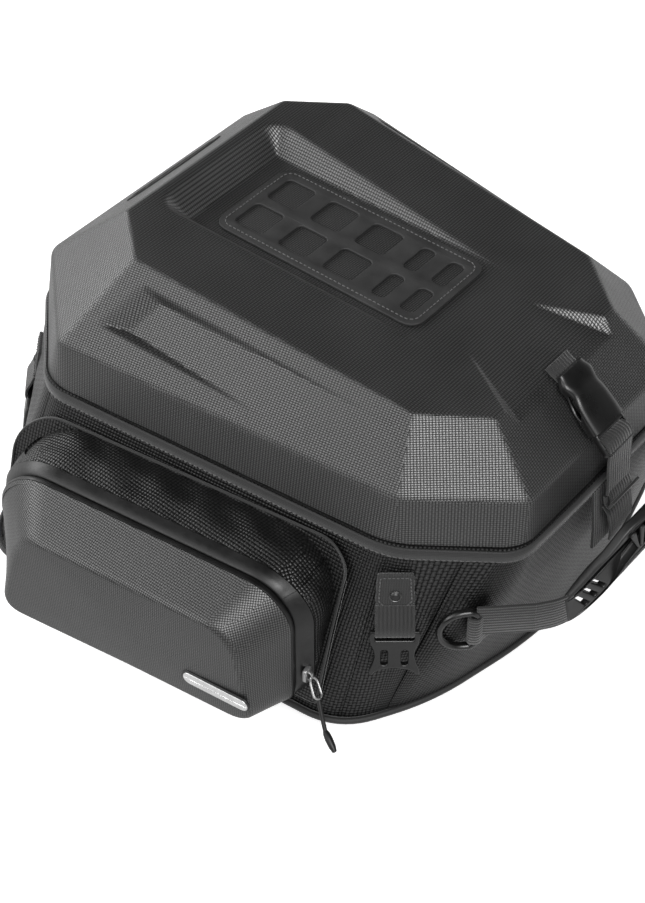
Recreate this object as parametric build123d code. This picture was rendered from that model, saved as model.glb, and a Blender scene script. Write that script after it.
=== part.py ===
from build123d import *
import os
from math import hypot

# Motorcycle tail bag, millimetres.
# +X points to the bag's forward end, +Y to the bag's left, +Z up.
# The origin is the centre of the base, on the seat.

# ---------------------------------------------------------------- driving dimensions
# Plan outlines are half outlines, (x, half width), listed from the rear to the front.
PLATEAU = [(-131, 77), (-97, 106), (108, 92), (146, 62)]
BAND_TOP = [(-184, 97), (-118, 158), (123, 124), (183, 75)]
RIM = [(-190, 100), (-126, 166), (125, 133), (187, 85), (188, 35)]
BASE = [(-192, 128), (-150, 212), (126, 181), (157, 128), (177, 45)]

# Heights of the tilted planes at x = 0, and how far each falls per millimetre forward.
PLATEAU_Z, PLATEAU_FALL = 204.0, 0.084
BAND_Z, BAND_FALL = 162.5, 0.036
RIM_Z, RIM_FALL = 123.0, 0.028

WEBBING_W = 25.0
WEBBING_T = 1.8
CLEAR = 0.4

# Body
WALL_T = 4.0
LINING_T = 1.0
SKIN_T = 2.0
BOARD_T = 3.0
BINDING_H = 6.0
BINDING_T = 4.5
ZIP_H = 0.9
ZIP_INSET = 1.5
LID_LIFT = BINDING_H + 2 * ZIP_H + 0.2

# Lid
LID_T = 6.0
LID_LINING_T = 1.0
PAN_FLOOR_Z = 198.0
PAN_FLOOR = (-108.0, 82.0, 43.0)
PAN_MOUTH = (-127.0, 112.0, 60.0)
PAN_MOUTH_Z = 220.0
GROOVE_DEPTH = 4.0
RAMP_DEPTH = 4.0
PATCH = (162.0, 76.0, 2.2)
PATCH_X = -13.0
REFLECTOR = (4.0, 84.0, 9.0)

# Hinge at the rear edge of the lid
HINGE_OUT = 2.0
HINGE_TAPE_T = 1.0
HINGE_TAPE_H = 16.0
HINGE_TAPE_W = 180.0

# Side pocket, in the frame of the right-hand wall: s along it, off outward from the rim, z up
POCKET_FLANGE = [(-144, 8), (-144, 92), (-122, 113), (92, 116), (106, 104), (106, 12)]
POCKET_MOUTH = [(-126, 8), (-126, 86), (-102, 111), (74, 112), (93, 94), (93, 12)]
POCKET_FACE = [(-113, 9), (-97, 66), (-84, 90), (58, 94), (72, 80), (82, 16)]
POCKET_MOUTH_OFF = 51.0
POCKET_FACE_OFF = 83.0
POCKET_T = 3.0
POCKET_TAPE_W = 4.0
NAMEPLATE = (50.0, 9.0, 1.2)
NAMEPLATE_S, NAMEPLATE_Z = 57.0, 36.0

# Fittings
FITTING_TOP = 109.0
TAB = (24.0, 27.0, 3.0)
RIVET_R = 3.2
LOOP_H = 9.0
BUCKLE_T = 4.6
BUCKLE_STANDOFF = 4.4
BUCKLE_HALF = [(15, 0), (15, -10), (11.5, -17), (15.5, -31), (13, -31)]
BUCKLE_NOTCH = 4.0
BUCKLE_SWING_GAP = 2.8
RING_WIRE_R = 2.2
RING_BAR = 27.0
RING_DEPTH = 27.0
RING_STANDOFF = 6.4
RING_SPOT, RING_ALONG = (171.6, -106.9, 71), (0.69, 0.725, 0)
GRIP_H, GRIP_T = 27.0, 9.0
GRIP_PLAN = [(213.5, 66), (222.5, 42), (227, 18)]
GRIP_ARCH = [(70, -2), (64, 0), (55, 9), (42, 23), (25, 37)]
HANDLE_Z = 78.0
HANDLE_WEB = [(183.0, -105.0), (199.0, -89.5), (201.6, -87.0), (209.5, -76.5), (213.0, -68.5)]
GRIP_REACH = 60.0

# Front strap, measured down the front facet from the plateau's edge
BUCKLE_SHELL = (41.0, 29.0, 11.0)
BUCKLE_WALL = 2.3
BUCKLE_WINDOW = 15.0
BUCKLE_START, BUCKLE_HEIGHT = 6.0, 6.5
YOKE = (14.0, 29.0, 6.0)
PRONG = (25.0, 4.4, 4.0)
PRONG_SPACING = 9.6
STRAP_PATCH_T = 2.6
STRAP_RUN = [(195.0, 149.5), (196.5, 124.5)]
STRAP_RUN_T = 3.0
ANCHOR_STRIP = (4.0, 50.0)
ANCHOR_SPOT, ANCHOR_LEAN = (188.2, 0, 92), 5.3

# Zip sliders and their pulls
SLIDER = (12.0, 3.2, 8.0)
STUD = (6.0, 2.6, 3.0)
POCKET_SLIDER_Z = 38.0
PULL = (7.0, 3.0, 30.0)
PULL_GAP = 3.9

# ---------------------------------------------------------------- derived frames
side_run = (RIM[2][0] - RIM[1][0], RIM[1][1] - RIM[2][1])
side_len = hypot(*side_run)
SIDE_T = (side_run[0] / side_len, side_run[1] / side_len)
SIDE_MID = ((RIM[1][0] + RIM[2][0]) / 2, -(RIM[1][1] + RIM[2][1]) / 2)
SIDE_PLANE = Plane(origin=(*SIDE_MID, 0), x_dir=(*SIDE_T, 0), z_dir=(0, 0, 1))
HINGE_X = RIM[0][0] - HINGE_OUT
HINGE_Z = RIM_Z - RIM_FALL * RIM[0][0] + BINDING_H + ZIP_H + 0.1


def full_outline(half):
    """Closed outline from a half outline: the right side, then its mirror image."""
    right = [(x, -y) for x, y in half]
    left = [(x, y) for x, y in reversed(half)]
    return right + left


def inset(points, distance):
    """Each edge of a convex counter-clockwise outline, moved inward by distance."""
    edges = []
    for (ax, ay), (bx, by) in zip(points, points[1:] + points[:1]):
        length = hypot(bx - ax, by - ay)
        nx, ny = -(by - ay) / length, (bx - ax) / length
        edges.append((nx, ny, nx * ax + ny * ay + distance))
    moved = []
    for (a, b, c), (d, e, f) in zip(edges[-1:] + edges[:-1], edges):
        det = a * e - b * d
        moved.append(((c * e - b * f) / det, (a * f - c * d) / det))
    return moved


def ring_face(points, level, fall=0.0):
    """A face with the given plan outline on a plane that falls toward the front."""
    return Face(Wire.make_polygon([(x, y, level - fall * x) for x, y in points], close=True))


def stack(*faces):
    return loft(list(faces), ruled=True)


def between(low, high, share):
    """An outline part of the way from one outline to another."""
    return [(a + (c - a) * share, b + (d - b) * share) for (a, b), (c, d) in zip(low, high)]


def mirrored(shape):
    return mirror(shape, about=Plane.XZ)


def rim_height(x, lift=0.0):
    return RIM_Z - RIM_FALL * x + lift


# ---------------------------------------------------------------- body
def wall_point(corner, share, z):
    """A point on the right-hand wall, part of the way from one corner of the plan to the next."""
    rim = between(RIM[corner:corner + 1], RIM[corner + 1:corner + 2], share)[0]
    foot = between(BASE[corner:corner + 1], BASE[corner + 1:corner + 2], share)[0]
    x, y = between([foot], [rim], z / rim_height(rim[0]))[0]
    return Vector(x, -y, z)


def wall_plane(corner, share, z):
    """Frame on the right-hand wall: x level and forward, y up the wall, z outward."""
    here = wall_point(corner, share, z)
    forward = wall_point(corner, share + 0.01, z) - here
    up = wall_point(corner, share, z + 1) - here
    return Plane(origin=here, x_dir=forward, z_dir=forward.cross(up))


def body_block(distance, low, lift):
    """The solid inside the body's outer surface, moved inward by distance."""
    rim = inset(full_outline(RIM), distance)
    base = inset(full_outline(BASE), distance)
    share = low / RIM_Z
    foot = between(base, rim, share)
    return stack(ring_face(foot, low), ring_face(rim, RIM_Z + lift, RIM_FALL))


def base_skin():
    return extrude(ring_face(full_outline(BASE), 0), SKIN_T, dir=(0, 0, 1))


def base_board():
    outline = inset(full_outline(BASE), 2 * (WALL_T + LINING_T))
    return extrude(ring_face(outline, SKIN_T), BOARD_T, dir=(0, 0, 1))


def wall_panels():
    """The eight fabric-covered board panels, by name."""
    walls = body_block(0, SKIN_T, 0) - body_block(WALL_T, SKIN_T - 1, 1)
    seams = [RIM[0], RIM[1], RIM[2], between([RIM[2]], [RIM[3]], 0.5)[0]]
    for x, y in seams:
        for side in (-1, 1):
            slit = Box(500, CLEAR, 400, align=(Align.MIN, Align.CENTER, Align.CENTER))
            angle = Vector(1, 0, 0).get_signed_angle(Vector(x, y * side, 0), Vector(0, 0, 1))
            walls -= Rot(0, 0, angle) * slit
    panels = {}
    for piece in walls.solids():
        spot = piece.center(CenterOf.BOUNDING_BOX)
        hand = "left" if spot.Y > 0 else "right"
        if abs(spot.Y) < 20:
            panels["front_panel" if spot.X > 0 else "rear_panel"] = piece
        elif abs(spot.X) < 80:
            panels[f"side_panel_{hand}"] = piece
        else:
            end = "front" if spot.X > 0 else "rear"
            panels[f"corner_panel_{end}_{hand}"] = piece
    return panels


def inner_lining():
    outer = WALL_T + 2 * CLEAR
    hollow = body_block(outer + LINING_T, SKIN_T - 1, 1)
    return body_block(outer, SKIN_T + CLEAR, -1) - hollow


def rim_ring(low, high, out, thick, clear_rear=False):
    """A ring on top of the body walls, from one lift above the rim to another."""
    outline = inset(full_outline(RIM), out)
    hole = inset(full_outline(RIM), out + thick)
    ring = stack(
        ring_face(outline, RIM_Z + low, RIM_FALL),
        ring_face(outline, RIM_Z + high, RIM_FALL),
    ) - stack(
        ring_face(hole, RIM_Z + low - 1, RIM_FALL),
        ring_face(hole, RIM_Z + high + 1, RIM_FALL),
    )
    if clear_rear:
        ring -= Pos(RIM[0][0], 0, RIM_Z) * Box(24, 2 * RIM[0][1] - 12, 60)
    return ring


def rim_binding():
    return rim_ring(0, BINDING_H, 0, BINDING_T)


def main_zip_lower():
    return rim_ring(BINDING_H, BINDING_H + ZIP_H, ZIP_INSET, 3, clear_rear=True)


def main_zip_upper():
    low = BINDING_H + ZIP_H + 0.2
    return rim_ring(low, LID_LIFT, ZIP_INSET, 3, clear_rear=True)


def hinge_tape(side):
    """Half of the fabric hinge: side 1 is sewn to the lid, side -1 to the body."""
    tape = Box(HINGE_TAPE_T, HINGE_TAPE_W, HINGE_TAPE_H)
    middle = side * (HINGE_TAPE_H / 2 + 0.1)
    lean = 4.0 if side > 0 else 0.0
    spot = Pos(HINGE_X + HINGE_OUT / 2, 0, HINGE_Z)
    return spot * Rot(0, lean, 0) * Pos(0, 0, middle) * tape


# ---------------------------------------------------------------- lid
def lid_block(distance, lift=0.0):
    """The solid inside the lid's outer surface, moved inward by distance."""
    rim_half = RIM[:4]
    share = (LID_LIFT + lift) / (BAND_Z - RIM_Z)
    foot = between(full_outline(rim_half), full_outline(BAND_TOP), share)
    return stack(
        ring_face(inset(foot, distance), RIM_Z + LID_LIFT + lift, RIM_FALL),
        ring_face(inset(full_outline(BAND_TOP), distance), BAND_Z - distance / 3, BAND_FALL),
        ring_face(inset(full_outline(PLATEAU), distance), PLATEAU_Z - distance, PLATEAU_FALL),
    )


def pan(growth):
    """The tapered tray pressed into the top of the lid, or its underside when grown."""
    def rectangle(box, z):
        x0, x1, half = box
        corners = [(x0 - growth, -half - growth), (x1 + growth, -half - growth)]
        corners += [(x1 + growth, half + growth), (x0 - growth, half + growth)]
        return ring_face(corners, z)

    return stack(rectangle(PAN_FLOOR, PAN_FLOOR_Z - growth), rectangle(PAN_MOUTH, PAN_MOUTH_Z))


def side_groove():
    """The long wedge pressed into the right-hand facet, deepest at its rear end."""
    top_rear = Vector(PLATEAU[1][0], -PLATEAU[1][1], PLATEAU_Z - PLATEAU_FALL * PLATEAU[1][0])
    top_front = Vector(PLATEAU[2][0], -PLATEAU[2][1], PLATEAU_Z - PLATEAU_FALL * PLATEAU[2][0])
    low_rear = Vector(BAND_TOP[1][0], -BAND_TOP[1][1], BAND_Z - BAND_FALL * BAND_TOP[1][0])
    along = (top_front - top_rear).normalized()
    normal = (low_rear - top_rear).cross(along).normalized()
    facet = Plane(origin=top_rear, x_dir=along, z_dir=normal.cross(along))
    depth_sign = 1 if facet.to_local_coords(Vector(top_rear) + normal).Y > 0 else -1
    wedge = [(6, 2), (12, -GROOVE_DEPTH), (165, -0.2), (165, 2)]
    profile = Polyline(*[(s, d * depth_sign) for s, d in wedge], close=True)
    face = facet * make_face(profile)
    reach = 32.0
    down = (low_rear - top_rear) - along * (low_rear - top_rear).dot(along)
    step = down.normalized()
    return Pos(*(step * 13)) * extrude(face, reach, dir=step)


def front_ramp():
    """The shallow notch that carries the strap buckle down to the front facet."""
    start, end = 103.0, 165.0
    floor_start = PLATEAU_Z - PLATEAU_FALL * start - RAMP_DEPTH
    floor_end = PLATEAU_Z - PLATEAU_FALL * end - RAMP_DEPTH
    near = Wire.make_polygon(
        [(start, -29, floor_start), (start, 29, floor_start), (start, 29, 230), (start, -29, 230)],
        close=True,
    )
    far = Wire.make_polygon(
        [(end, -48, floor_end), (end, 48, floor_end), (end, 48, 230), (end, -48, 230)], close=True
    )
    return loft([Face(near), Face(far)], ruled=True)


def lid_shell():
    outer = lid_block(0)
    hollow = lid_block(LID_T, lift=-1)
    groove = side_groove()
    shell = outer - hollow + (pan(LID_T) & outer)
    return shell - pan(0) - groove - mirrored(groove) - front_ramp()


def lid_lining():
    gap = LID_T + CLEAR
    outer = lid_block(gap, lift=1) - pan(gap)
    return outer - (lid_block(gap + LID_LINING_T, lift=-1) - pan(gap + LID_LINING_T))


def patch_windows():
    """Window centres and sizes, from the patch's rear end forward, for one row."""
    squares = [(-60 + 36 * i, 24.0) for i in range(3)]
    slots = [(44 + 22 * i, 11.0) for i in range(2)]
    return squares + slots


def top_patch():
    length, width, thick = PATCH
    plate = extrude(RectangleRounded(length, width, 10), thick)
    for row in (-1, 1):
        for x, size in patch_windows():
            window = extrude(RectangleRounded(size, 24, min(size, 24) / 2 - 0.6 - (size > 20) * 6), 9)
            plate -= Pos(x, row * 16, -2) * window
    return Pos(PATCH_X, 0, PAN_FLOOR_Z + 0.05) * plate


def rear_facet():
    """Frame on the rear facet: x across the bag, y up the facet, z outward."""
    low = Vector(BAND_TOP[0][0], 0, BAND_Z - BAND_FALL * BAND_TOP[0][0])
    high = Vector(PLATEAU[0][0], 0, PLATEAU_Z - PLATEAU_FALL * PLATEAU[0][0])
    up = (high - low).normalized()
    normal = Vector(0, -1, 0).cross(up).normalized()
    return Plane(origin=low, x_dir=(0, -1, 0), z_dir=normal), (high - low).length


def rear_reflector():
    plane, height = rear_facet()
    thick, width, tall = REFLECTOR
    bar = fillet(Box(width, tall, thick).edges().filter_by(Axis.Z), 3)
    return plane.location * Pos(0, height * 0.3, thick / 2 + 0.1) * bar


# ---------------------------------------------------------------- side pocket
def wall_face(points, off, radius):
    """A rounded outline in the upright plane that stands off from the side wall."""
    plane = Plane(origin=(0, -off, 0), x_dir=(1, 0, 0), z_dir=(0, -1, 0))
    outline = make_face(Polyline(*points, close=True))
    return plane * fillet(outline.vertices(), radius)


def pocket_block(growth, mouth_off, face_off):
    def grown(points):
        ring = [(s, z) for s, z in reversed(points)]
        return inset(ring, growth)

    return loft(
        [wall_face(grown(POCKET_MOUTH), mouth_off, 8), wall_face(grown(POCKET_FACE), face_off, 8)],
        ruled=True,
    )


def pocket_cover():
    outer = pocket_block(0, POCKET_MOUTH_OFF + POCKET_TAPE_W + 0.3, POCKET_FACE_OFF)
    inner = pocket_block(POCKET_T, POCKET_MOUTH_OFF + 3, POCKET_FACE_OFF - POCKET_T)
    return SIDE_PLANE.location * (outer - inner)


def pocket_frame(off_low, off_high, thick):
    """A band around the pocket's mouth between two offsets from the wall."""
    outer = list(reversed(POCKET_MOUTH))
    hole = inset(outer, thick)
    band = loft([wall_face(outer, off_low, 8), wall_face(outer, off_high, 8)], ruled=True)
    band -= loft([wall_face(hole, off_low - 1, 6), wall_face(hole, off_high + 1, 6)], ruled=True)
    return band


def pocket_tape_cover():
    low = POCKET_MOUTH_OFF + 0.3
    return SIDE_PLANE.location * pocket_frame(low, low + POCKET_TAPE_W - 0.1, POCKET_T)


def pocket_tape_gusset():
    low = POCKET_MOUTH_OFF - POCKET_TAPE_W
    return SIDE_PLANE.location * pocket_frame(low, POCKET_MOUTH_OFF, POCKET_T)


def side_wall_space():
    """Everything inboard of the body's outer surface."""
    return body_block(-0.1, 0.5, 0)


def pocket_backing(wall_space):
    """The flange that sews the pocket to the side wall."""
    plate = loft([wall_face(POCKET_FLANGE, -6, 8), wall_face(POCKET_FLANGE, 50, 8)], ruled=True)
    layer = body_block(-POCKET_T, 0.5, 0)
    return (SIDE_PLANE.location * plate & layer) - wall_space


def pocket_gusset(wall_space):
    """The fabric sides of the pocket, between the flange and the zip."""
    band = pocket_frame(4, POCKET_MOUTH_OFF - POCKET_TAPE_W - 0.1, POCKET_T)
    layer = body_block(-POCKET_T - 0.1, 0.5, 0)
    return SIDE_PLANE.location * band - layer


def nameplate():
    length, height, thick = NAMEPLATE
    plate = extrude(SlotOverall(length, height), thick)
    spot = (NAMEPLATE_S, -POCKET_FACE_OFF - 0.1, NAMEPLATE_Z)
    plane = Plane(origin=spot, x_dir=(1, 0, 0), z_dir=(0, -1, 0))
    return SIDE_PLANE.location * (plane.location * plate)


def pocket_slider():
    """The zip slider parked at the lower front end of the pocket's zip."""
    width, thick, tall = SLIDER
    s = POCKET_MOUTH[-1][0]
    spot = Pos(s, -POCKET_MOUTH_OFF, POCKET_SLIDER_Z)
    plate = spot * Pos(thick / 2 + CLEAR, 0, 0) * Box(thick, tall, width)
    stud = spot * Pos(thick + 1.6, 0, 0) * Box(STUD[1], STUD[2], STUD[0])
    return SIDE_PLANE.location * (plate + stud)


def pocket_pull():
    width, thick, tall = PULL
    s = POCKET_MOUTH[-1][0] + SLIDER[1] + 3.3 + thick / 2
    tab = Box(thick, width, tall, align=(Align.CENTER, Align.CENTER, Align.MAX))
    return SIDE_PLANE.location * (Pos(s, -POCKET_MOUTH_OFF, POCKET_SLIDER_Z + 4) * tab)


# ---------------------------------------------------------------- main zip sliders
def main_slider(direction):
    """One of the two sliders that meet halfway along the left side."""
    length, thick, tall = SLIDER
    z = rim_height(0, BINDING_H + ZIP_H)
    s = direction * (length / 2 + 0.5)
    plate = Pos(s, -thick / 2 - 0.4, z) * Box(length, thick, tall)
    stud = Pos(s, -thick - 1.6, z) * Box(*STUD)
    return mirrored(SIDE_PLANE.location * (plate + stud))


def main_pull(direction):
    """A pull lying along the zip, away from the other slider."""
    length, thick, tall = SLIDER
    pull_w, pull_t, pull_l = PULL
    z = rim_height(0, BINDING_H + ZIP_H)
    s = direction * (length / 2 + 0.5 - 0.4)
    along = Align.MIN if direction > 0 else Align.MAX
    tab = Box(pull_l, pull_t, pull_w, align=(along, Align.CENTER, Align.CENTER))
    return mirrored(SIDE_PLANE.location * (Pos(s, -thick - PULL_GAP - pull_t / 2, z) * tab))


# ---------------------------------------------------------------- corner fittings
def corner_plane(end):
    """Frame on the wall at the top of a right-hand corner fitting."""
    return wall_plane(2, 0.09, FITTING_TOP) if end == "front" else wall_plane(0, 0.25, FITTING_TOP)


def male_buckle():
    """Male half of a side-release buckle, hanging from y = 0, centred on its thickness."""
    right = BUCKLE_HALF
    left = [(-x, y) for x, y in reversed(right)]
    (x1, low), (x2, _) = right[-1], left[0]
    edge = Polyline(*left, *right) + ThreePointArc((x1, low), (0, low + BUCKLE_NOTCH), (x2, low))
    plate = extrude(make_face(edge), BUCKLE_T / 2, both=True)
    slot = Pos(0, -4.6, 0) * Box(WEBBING_W - 1, 3.4, 2 * BUCKLE_T)
    plate -= slot
    for side in (-1, 1):
        window = extrude(RectangleRounded(4.2, 11, 1.8), 2 * BUCKLE_T, both=True)
        plate -= Pos(side * 6.2, -18.5, 0) * window
    return plate


def corner_parts(end, wall_space):
    """Tab, rivet, webbing loop and male buckle hanging at one right-hand corner."""
    place = corner_plane(end).location
    width, tall, thick = TAB
    tab = place * Pos(0, -tall / 2, 0) * Box(width, tall, 2 * thick)
    rivet = place * Pos(0, -tall / 2 - 2, thick + 1.2) * Cylinder(RIVET_R, 2)
    loop_top = -tall - CLEAR
    loop = place * Pos(0, loop_top - LOOP_H / 2, 0) * Box(WEBBING_W - 1, LOOP_H, 8.4)
    male_top = loop_top - LOOP_H - BUCKLE_SWING_GAP
    male = place * Pos(0, male_top, BUCKLE_STANDOFF) * male_buckle()
    return tab - wall_space, rivet, loop - wall_space, male


def d_ring_plane():
    """Upright frame at the ring: x forward along the wall, -y outward."""
    return Plane(origin=RING_SPOT, x_dir=RING_ALONG, z_dir=(0, 0, 1))


def d_ring():
    """Ring whose bar lies in the webbing loop and whose bow points to the rear."""
    half = RING_BAR / 2 + RING_WIRE_R
    bow_r = half
    flat = RING_DEPTH - bow_r - 2 * RING_WIRE_R
    path = Polyline((-flat, -half), (0, -half), (0, half), (-flat, half)) + RadiusArc(
        (-flat, -half), (-flat, half), bow_r
    )
    outline = make_face(path)
    ring = extrude(offset(outline, RING_WIRE_R) - offset(outline, -RING_WIRE_R), RING_WIRE_R, both=True)
    upright = Plane(origin=(0, -RING_STANDOFF, 0), x_dir=(1, 0, 0), z_dir=(0, -1, 0))
    return d_ring_plane().location * (upright.location * ring)


def d_ring_loop(wall_space):
    """Webbing folded round the ring's bar and sewn to the front panel."""
    wide, tall = 13.0, WEBBING_W - 2
    inner, outer = 4.0, RING_STANDOFF + 2.2 * RING_WIRE_R
    gap = 3 * RING_WIRE_R
    loop = Pos(wide / 2 - 4.8, (inner - outer) / 2, 0) * Box(wide, inner + outer, tall)
    slot = Pos(0, -RING_STANDOFF, 0) * Box(gap, gap, tall + 2)
    return d_ring_plane().location * (loop - slot) - wall_space


# ---------------------------------------------------------------- handle
def handle_band(points, thick, half_h):
    """An upright band of constant thickness along a plan path."""
    path = Polyline(*points)
    band = make_face(offset(path, thick / 2).edges())
    return extrude(band, half_h, both=True)


def handle_anchors(wall_space):
    """The two sewn ends of the handle's webbing, fixed to the body."""
    start, end = HANDLE_WEB[:2]
    strip = Pos(0, 0, HANDLE_Z) * handle_band([start, end], WEBBING_T, WEBBING_W / 2)
    right = strip - wall_space
    return [right, mirrored(right)]


def handle_webbing():
    """The free webbing between the sewn ends and the grip."""
    right = Pos(0, 0, HANDLE_Z) * handle_band(HANDLE_WEB[2:], WEBBING_T, WEBBING_W / 2)
    return [right, mirrored(right)]


def handle_grip():
    """An arched grip: a bowed plan band cut to an arched elevation."""
    plan = [(x, -y) for x, y in GRIP_PLAN] + [(x, y) for x, y in reversed(GRIP_PLAN)]
    band = Pos(0, 0, HANDLE_Z) * handle_band(plan, GRIP_T, GRIP_REACH)
    arch = [(-y, z) for y, z in GRIP_ARCH] + [(y, z) for y, z in reversed(GRIP_ARCH)]
    lower = [(y, HANDLE_Z + z - GRIP_H / 2) for y, z in arch]
    upper = [(y, HANDLE_Z + z + GRIP_H / 2) for y, z in reversed(arch)]
    elevation = make_face(Polyline(*(lower + upper), close=True))
    side = Plane(origin=(200, 0, 0), x_dir=(0, 1, 0), z_dir=(1, 0, 0))
    grip = band & extrude(side * elevation, GRIP_REACH)
    right, left = handle_webbing()
    return grip - right - left


# ---------------------------------------------------------------- front strap
def front_facet():
    """Frame on the front facet: x down the facet, y across the bag, z outward."""
    high = Vector(PLATEAU[3][0], 0, PLATEAU_Z - PLATEAU_FALL * PLATEAU[3][0])
    low = Vector(BAND_TOP[3][0], 0, BAND_Z - BAND_FALL * BAND_TOP[3][0])
    down = (low - high).normalized()
    return Plane(origin=high, x_dir=down, z_dir=down.cross(Vector(0, 1, 0)) * 1)


def front_buckle_female():
    """Hollow half of the strap buckle, open at its lower end and at both sides."""
    place = front_facet().location
    length, width, height = BUCKLE_SHELL
    middle = BUCKLE_START + length / 2
    room = (length, width - 2 * BUCKLE_WALL, height - 2 * BUCKLE_WALL)
    shell = Pos(middle, 0, BUCKLE_HEIGHT) * Box(length, width, height)
    mouth = Pos(middle + 2 * BUCKLE_WALL, 0, BUCKLE_HEIGHT) * Box(*room)
    windows = Pos(middle, 0, BUCKLE_HEIGHT) * Box(BUCKLE_WINDOW, 2 * width, 2 * BUCKLE_WALL)
    return place * (shell - mouth - windows)


def front_buckle_male():
    """Pronged half, with a bar for the webbing."""
    place = front_facet().location
    start = BUCKLE_START + BUCKLE_SHELL[0] + CLEAR
    yoke = Pos(start + YOKE[0] / 2, 0, BUCKLE_HEIGHT) * Box(*YOKE)
    slot = Pos(start + YOKE[0] / 2 + 1, 0, BUCKLE_HEIGHT) * Box(4, WEBBING_W + 1, 2 * YOKE[2])
    prong = Pos(start + 1 - PRONG[0] / 2, 0, BUCKLE_HEIGHT) * Box(*PRONG)
    prongs = [Pos(0, place_across * PRONG_SPACING, 0) * prong for place_across in (-1, 0, 1)]
    return place * (yoke - slot + prongs)


def front_strap_patch():
    """Webbing tab that holds the female half on the lid."""
    place = front_facet().location
    spot = Pos(BUCKLE_START - 6, 0, STRAP_PATCH_T / 2 + 0.3)
    return place * spot * Box(2 * BUCKLE_START - 1, WEBBING_W, STRAP_PATCH_T)


def front_strap_webbing():
    """Webbing from the male half down past the edge of the lid."""
    top, foot = (Vector(x, 0, z) for x, z in STRAP_RUN)
    run = foot - top
    place = Plane(origin=top, x_dir=run.normalized(), z_dir=run.normalized().cross(Vector(0, 1, 0)))
    strip = Box(run.length, WEBBING_W, STRAP_RUN_T)
    return place.location * Pos(run.length / 2, 0, STRAP_RUN_T / 2) * strip


def front_strap_anchor(wall_space):
    """Webbing sewn to the front panel, with the folded adjuster tail over it."""
    thick, tall = ANCHOR_STRIP
    strip = Pos(*ANCHOR_SPOT) * Rot(0, ANCHOR_LEAN, 0) * Box(thick, WEBBING_W, tall)
    return strip - wall_space


# ---------------------------------------------------------------- assembly
def four_corners(front, rear):
    return [front, mirrored(front), rear, mirrored(rear)]


def build():
    wall_space = side_wall_space()
    front = corner_parts("front", wall_space)
    rear = corner_parts("rear", wall_space)
    nodes = {
        "base_skin": base_skin(),
        "base_board": base_board(),
        **wall_panels(),
        "inner_lining": inner_lining(),
        "rim_binding": rim_binding(),
        "main_zip_lower": main_zip_lower(),
        "main_zip_upper": main_zip_upper(),
        "body_hinge_tape": hinge_tape(-1),
        "lid_hinge_tape": hinge_tape(1),
        "lid_shell": lid_shell(),
        "lid_lining": lid_lining(),
        "top_patch": top_patch(),
        "rear_reflector": rear_reflector(),
        "corner_tabs": four_corners(front[0], rear[0]),
        "corner_rivets": four_corners(front[1], rear[1]),
        "buckle_loops": four_corners(front[2], rear[2]),
        "d_ring_loops": [d_ring_loop(wall_space), mirrored(d_ring_loop(wall_space))],
        "front_strap_patch": front_strap_patch(),
        "front_buckle_female": front_buckle_female(),
        "front_buckle_male": front_buckle_male(),
        "front_strap_webbing": front_strap_webbing(),
        "front_strap_anchor": front_strap_anchor(wall_space),
        "handle_anchors": handle_anchors(wall_space),
        "handle_webbing": handle_webbing(),
        "handle_grip": handle_grip(),
        "main_slider_front": main_slider(1),
        "main_slider_rear": main_slider(-1),
        "main_pull_front": main_pull(1),
        "main_pull_rear": main_pull(-1),
    }
    handed = {"d_ring": d_ring(), "buckle_front": front[3], "buckle_rear": rear[3]}
    for name, shape in handed.items():
        nodes[f"{name}_right"] = shape
        nodes[f"{name}_left"] = mirrored(shape)
    nodes["pocket_backing"] = pocket_backing(wall_space)
    nodes["pocket_gusset"] = pocket_gusset(wall_space)
    nodes["pocket_zip_gusset"] = pocket_tape_gusset()
    nodes["pocket_zip_cover"] = pocket_tape_cover()
    nodes["pocket_cover"] = pocket_cover()
    nodes["pocket_nameplate"] = nameplate()
    nodes["pocket_slider"] = pocket_slider()
    nodes["pocket_pull"] = pocket_pull()
    return nodes


def solids_of(shape):
    pieces = shape if isinstance(shape, list) else [shape]
    return [solid for piece in pieces for solid in piece.solids()]


def main():
    os.makedirs("parts", exist_ok=True)
    for name, shape in build().items():
        solids = solids_of(shape)
        whole = solids[0] if len(solids) == 1 else Compound(children=solids)
        export_step(whole, f"parts/{name}.step")


main()
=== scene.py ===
import math

import bpy
import numpy as np
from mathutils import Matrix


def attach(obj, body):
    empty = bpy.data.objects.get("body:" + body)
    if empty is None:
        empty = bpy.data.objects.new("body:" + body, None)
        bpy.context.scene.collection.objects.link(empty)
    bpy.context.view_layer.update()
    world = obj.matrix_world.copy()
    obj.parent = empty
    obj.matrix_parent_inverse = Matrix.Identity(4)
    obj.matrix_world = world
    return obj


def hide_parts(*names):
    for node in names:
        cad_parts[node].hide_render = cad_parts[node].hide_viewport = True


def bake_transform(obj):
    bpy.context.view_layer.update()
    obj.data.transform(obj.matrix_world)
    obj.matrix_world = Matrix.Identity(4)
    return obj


# Motorcycle tail bag. +X is forward, +Y left, +Z up, the origin is the centre of the base.
# Lengths below are millimetres; add_piece() turns them into metres.

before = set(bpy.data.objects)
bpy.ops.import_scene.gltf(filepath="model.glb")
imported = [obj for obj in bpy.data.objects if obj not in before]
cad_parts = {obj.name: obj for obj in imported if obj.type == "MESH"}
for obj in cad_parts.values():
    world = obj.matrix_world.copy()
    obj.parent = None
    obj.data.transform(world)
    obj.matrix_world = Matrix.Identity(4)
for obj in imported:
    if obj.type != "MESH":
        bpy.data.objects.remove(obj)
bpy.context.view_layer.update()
MM = 0.001

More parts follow.
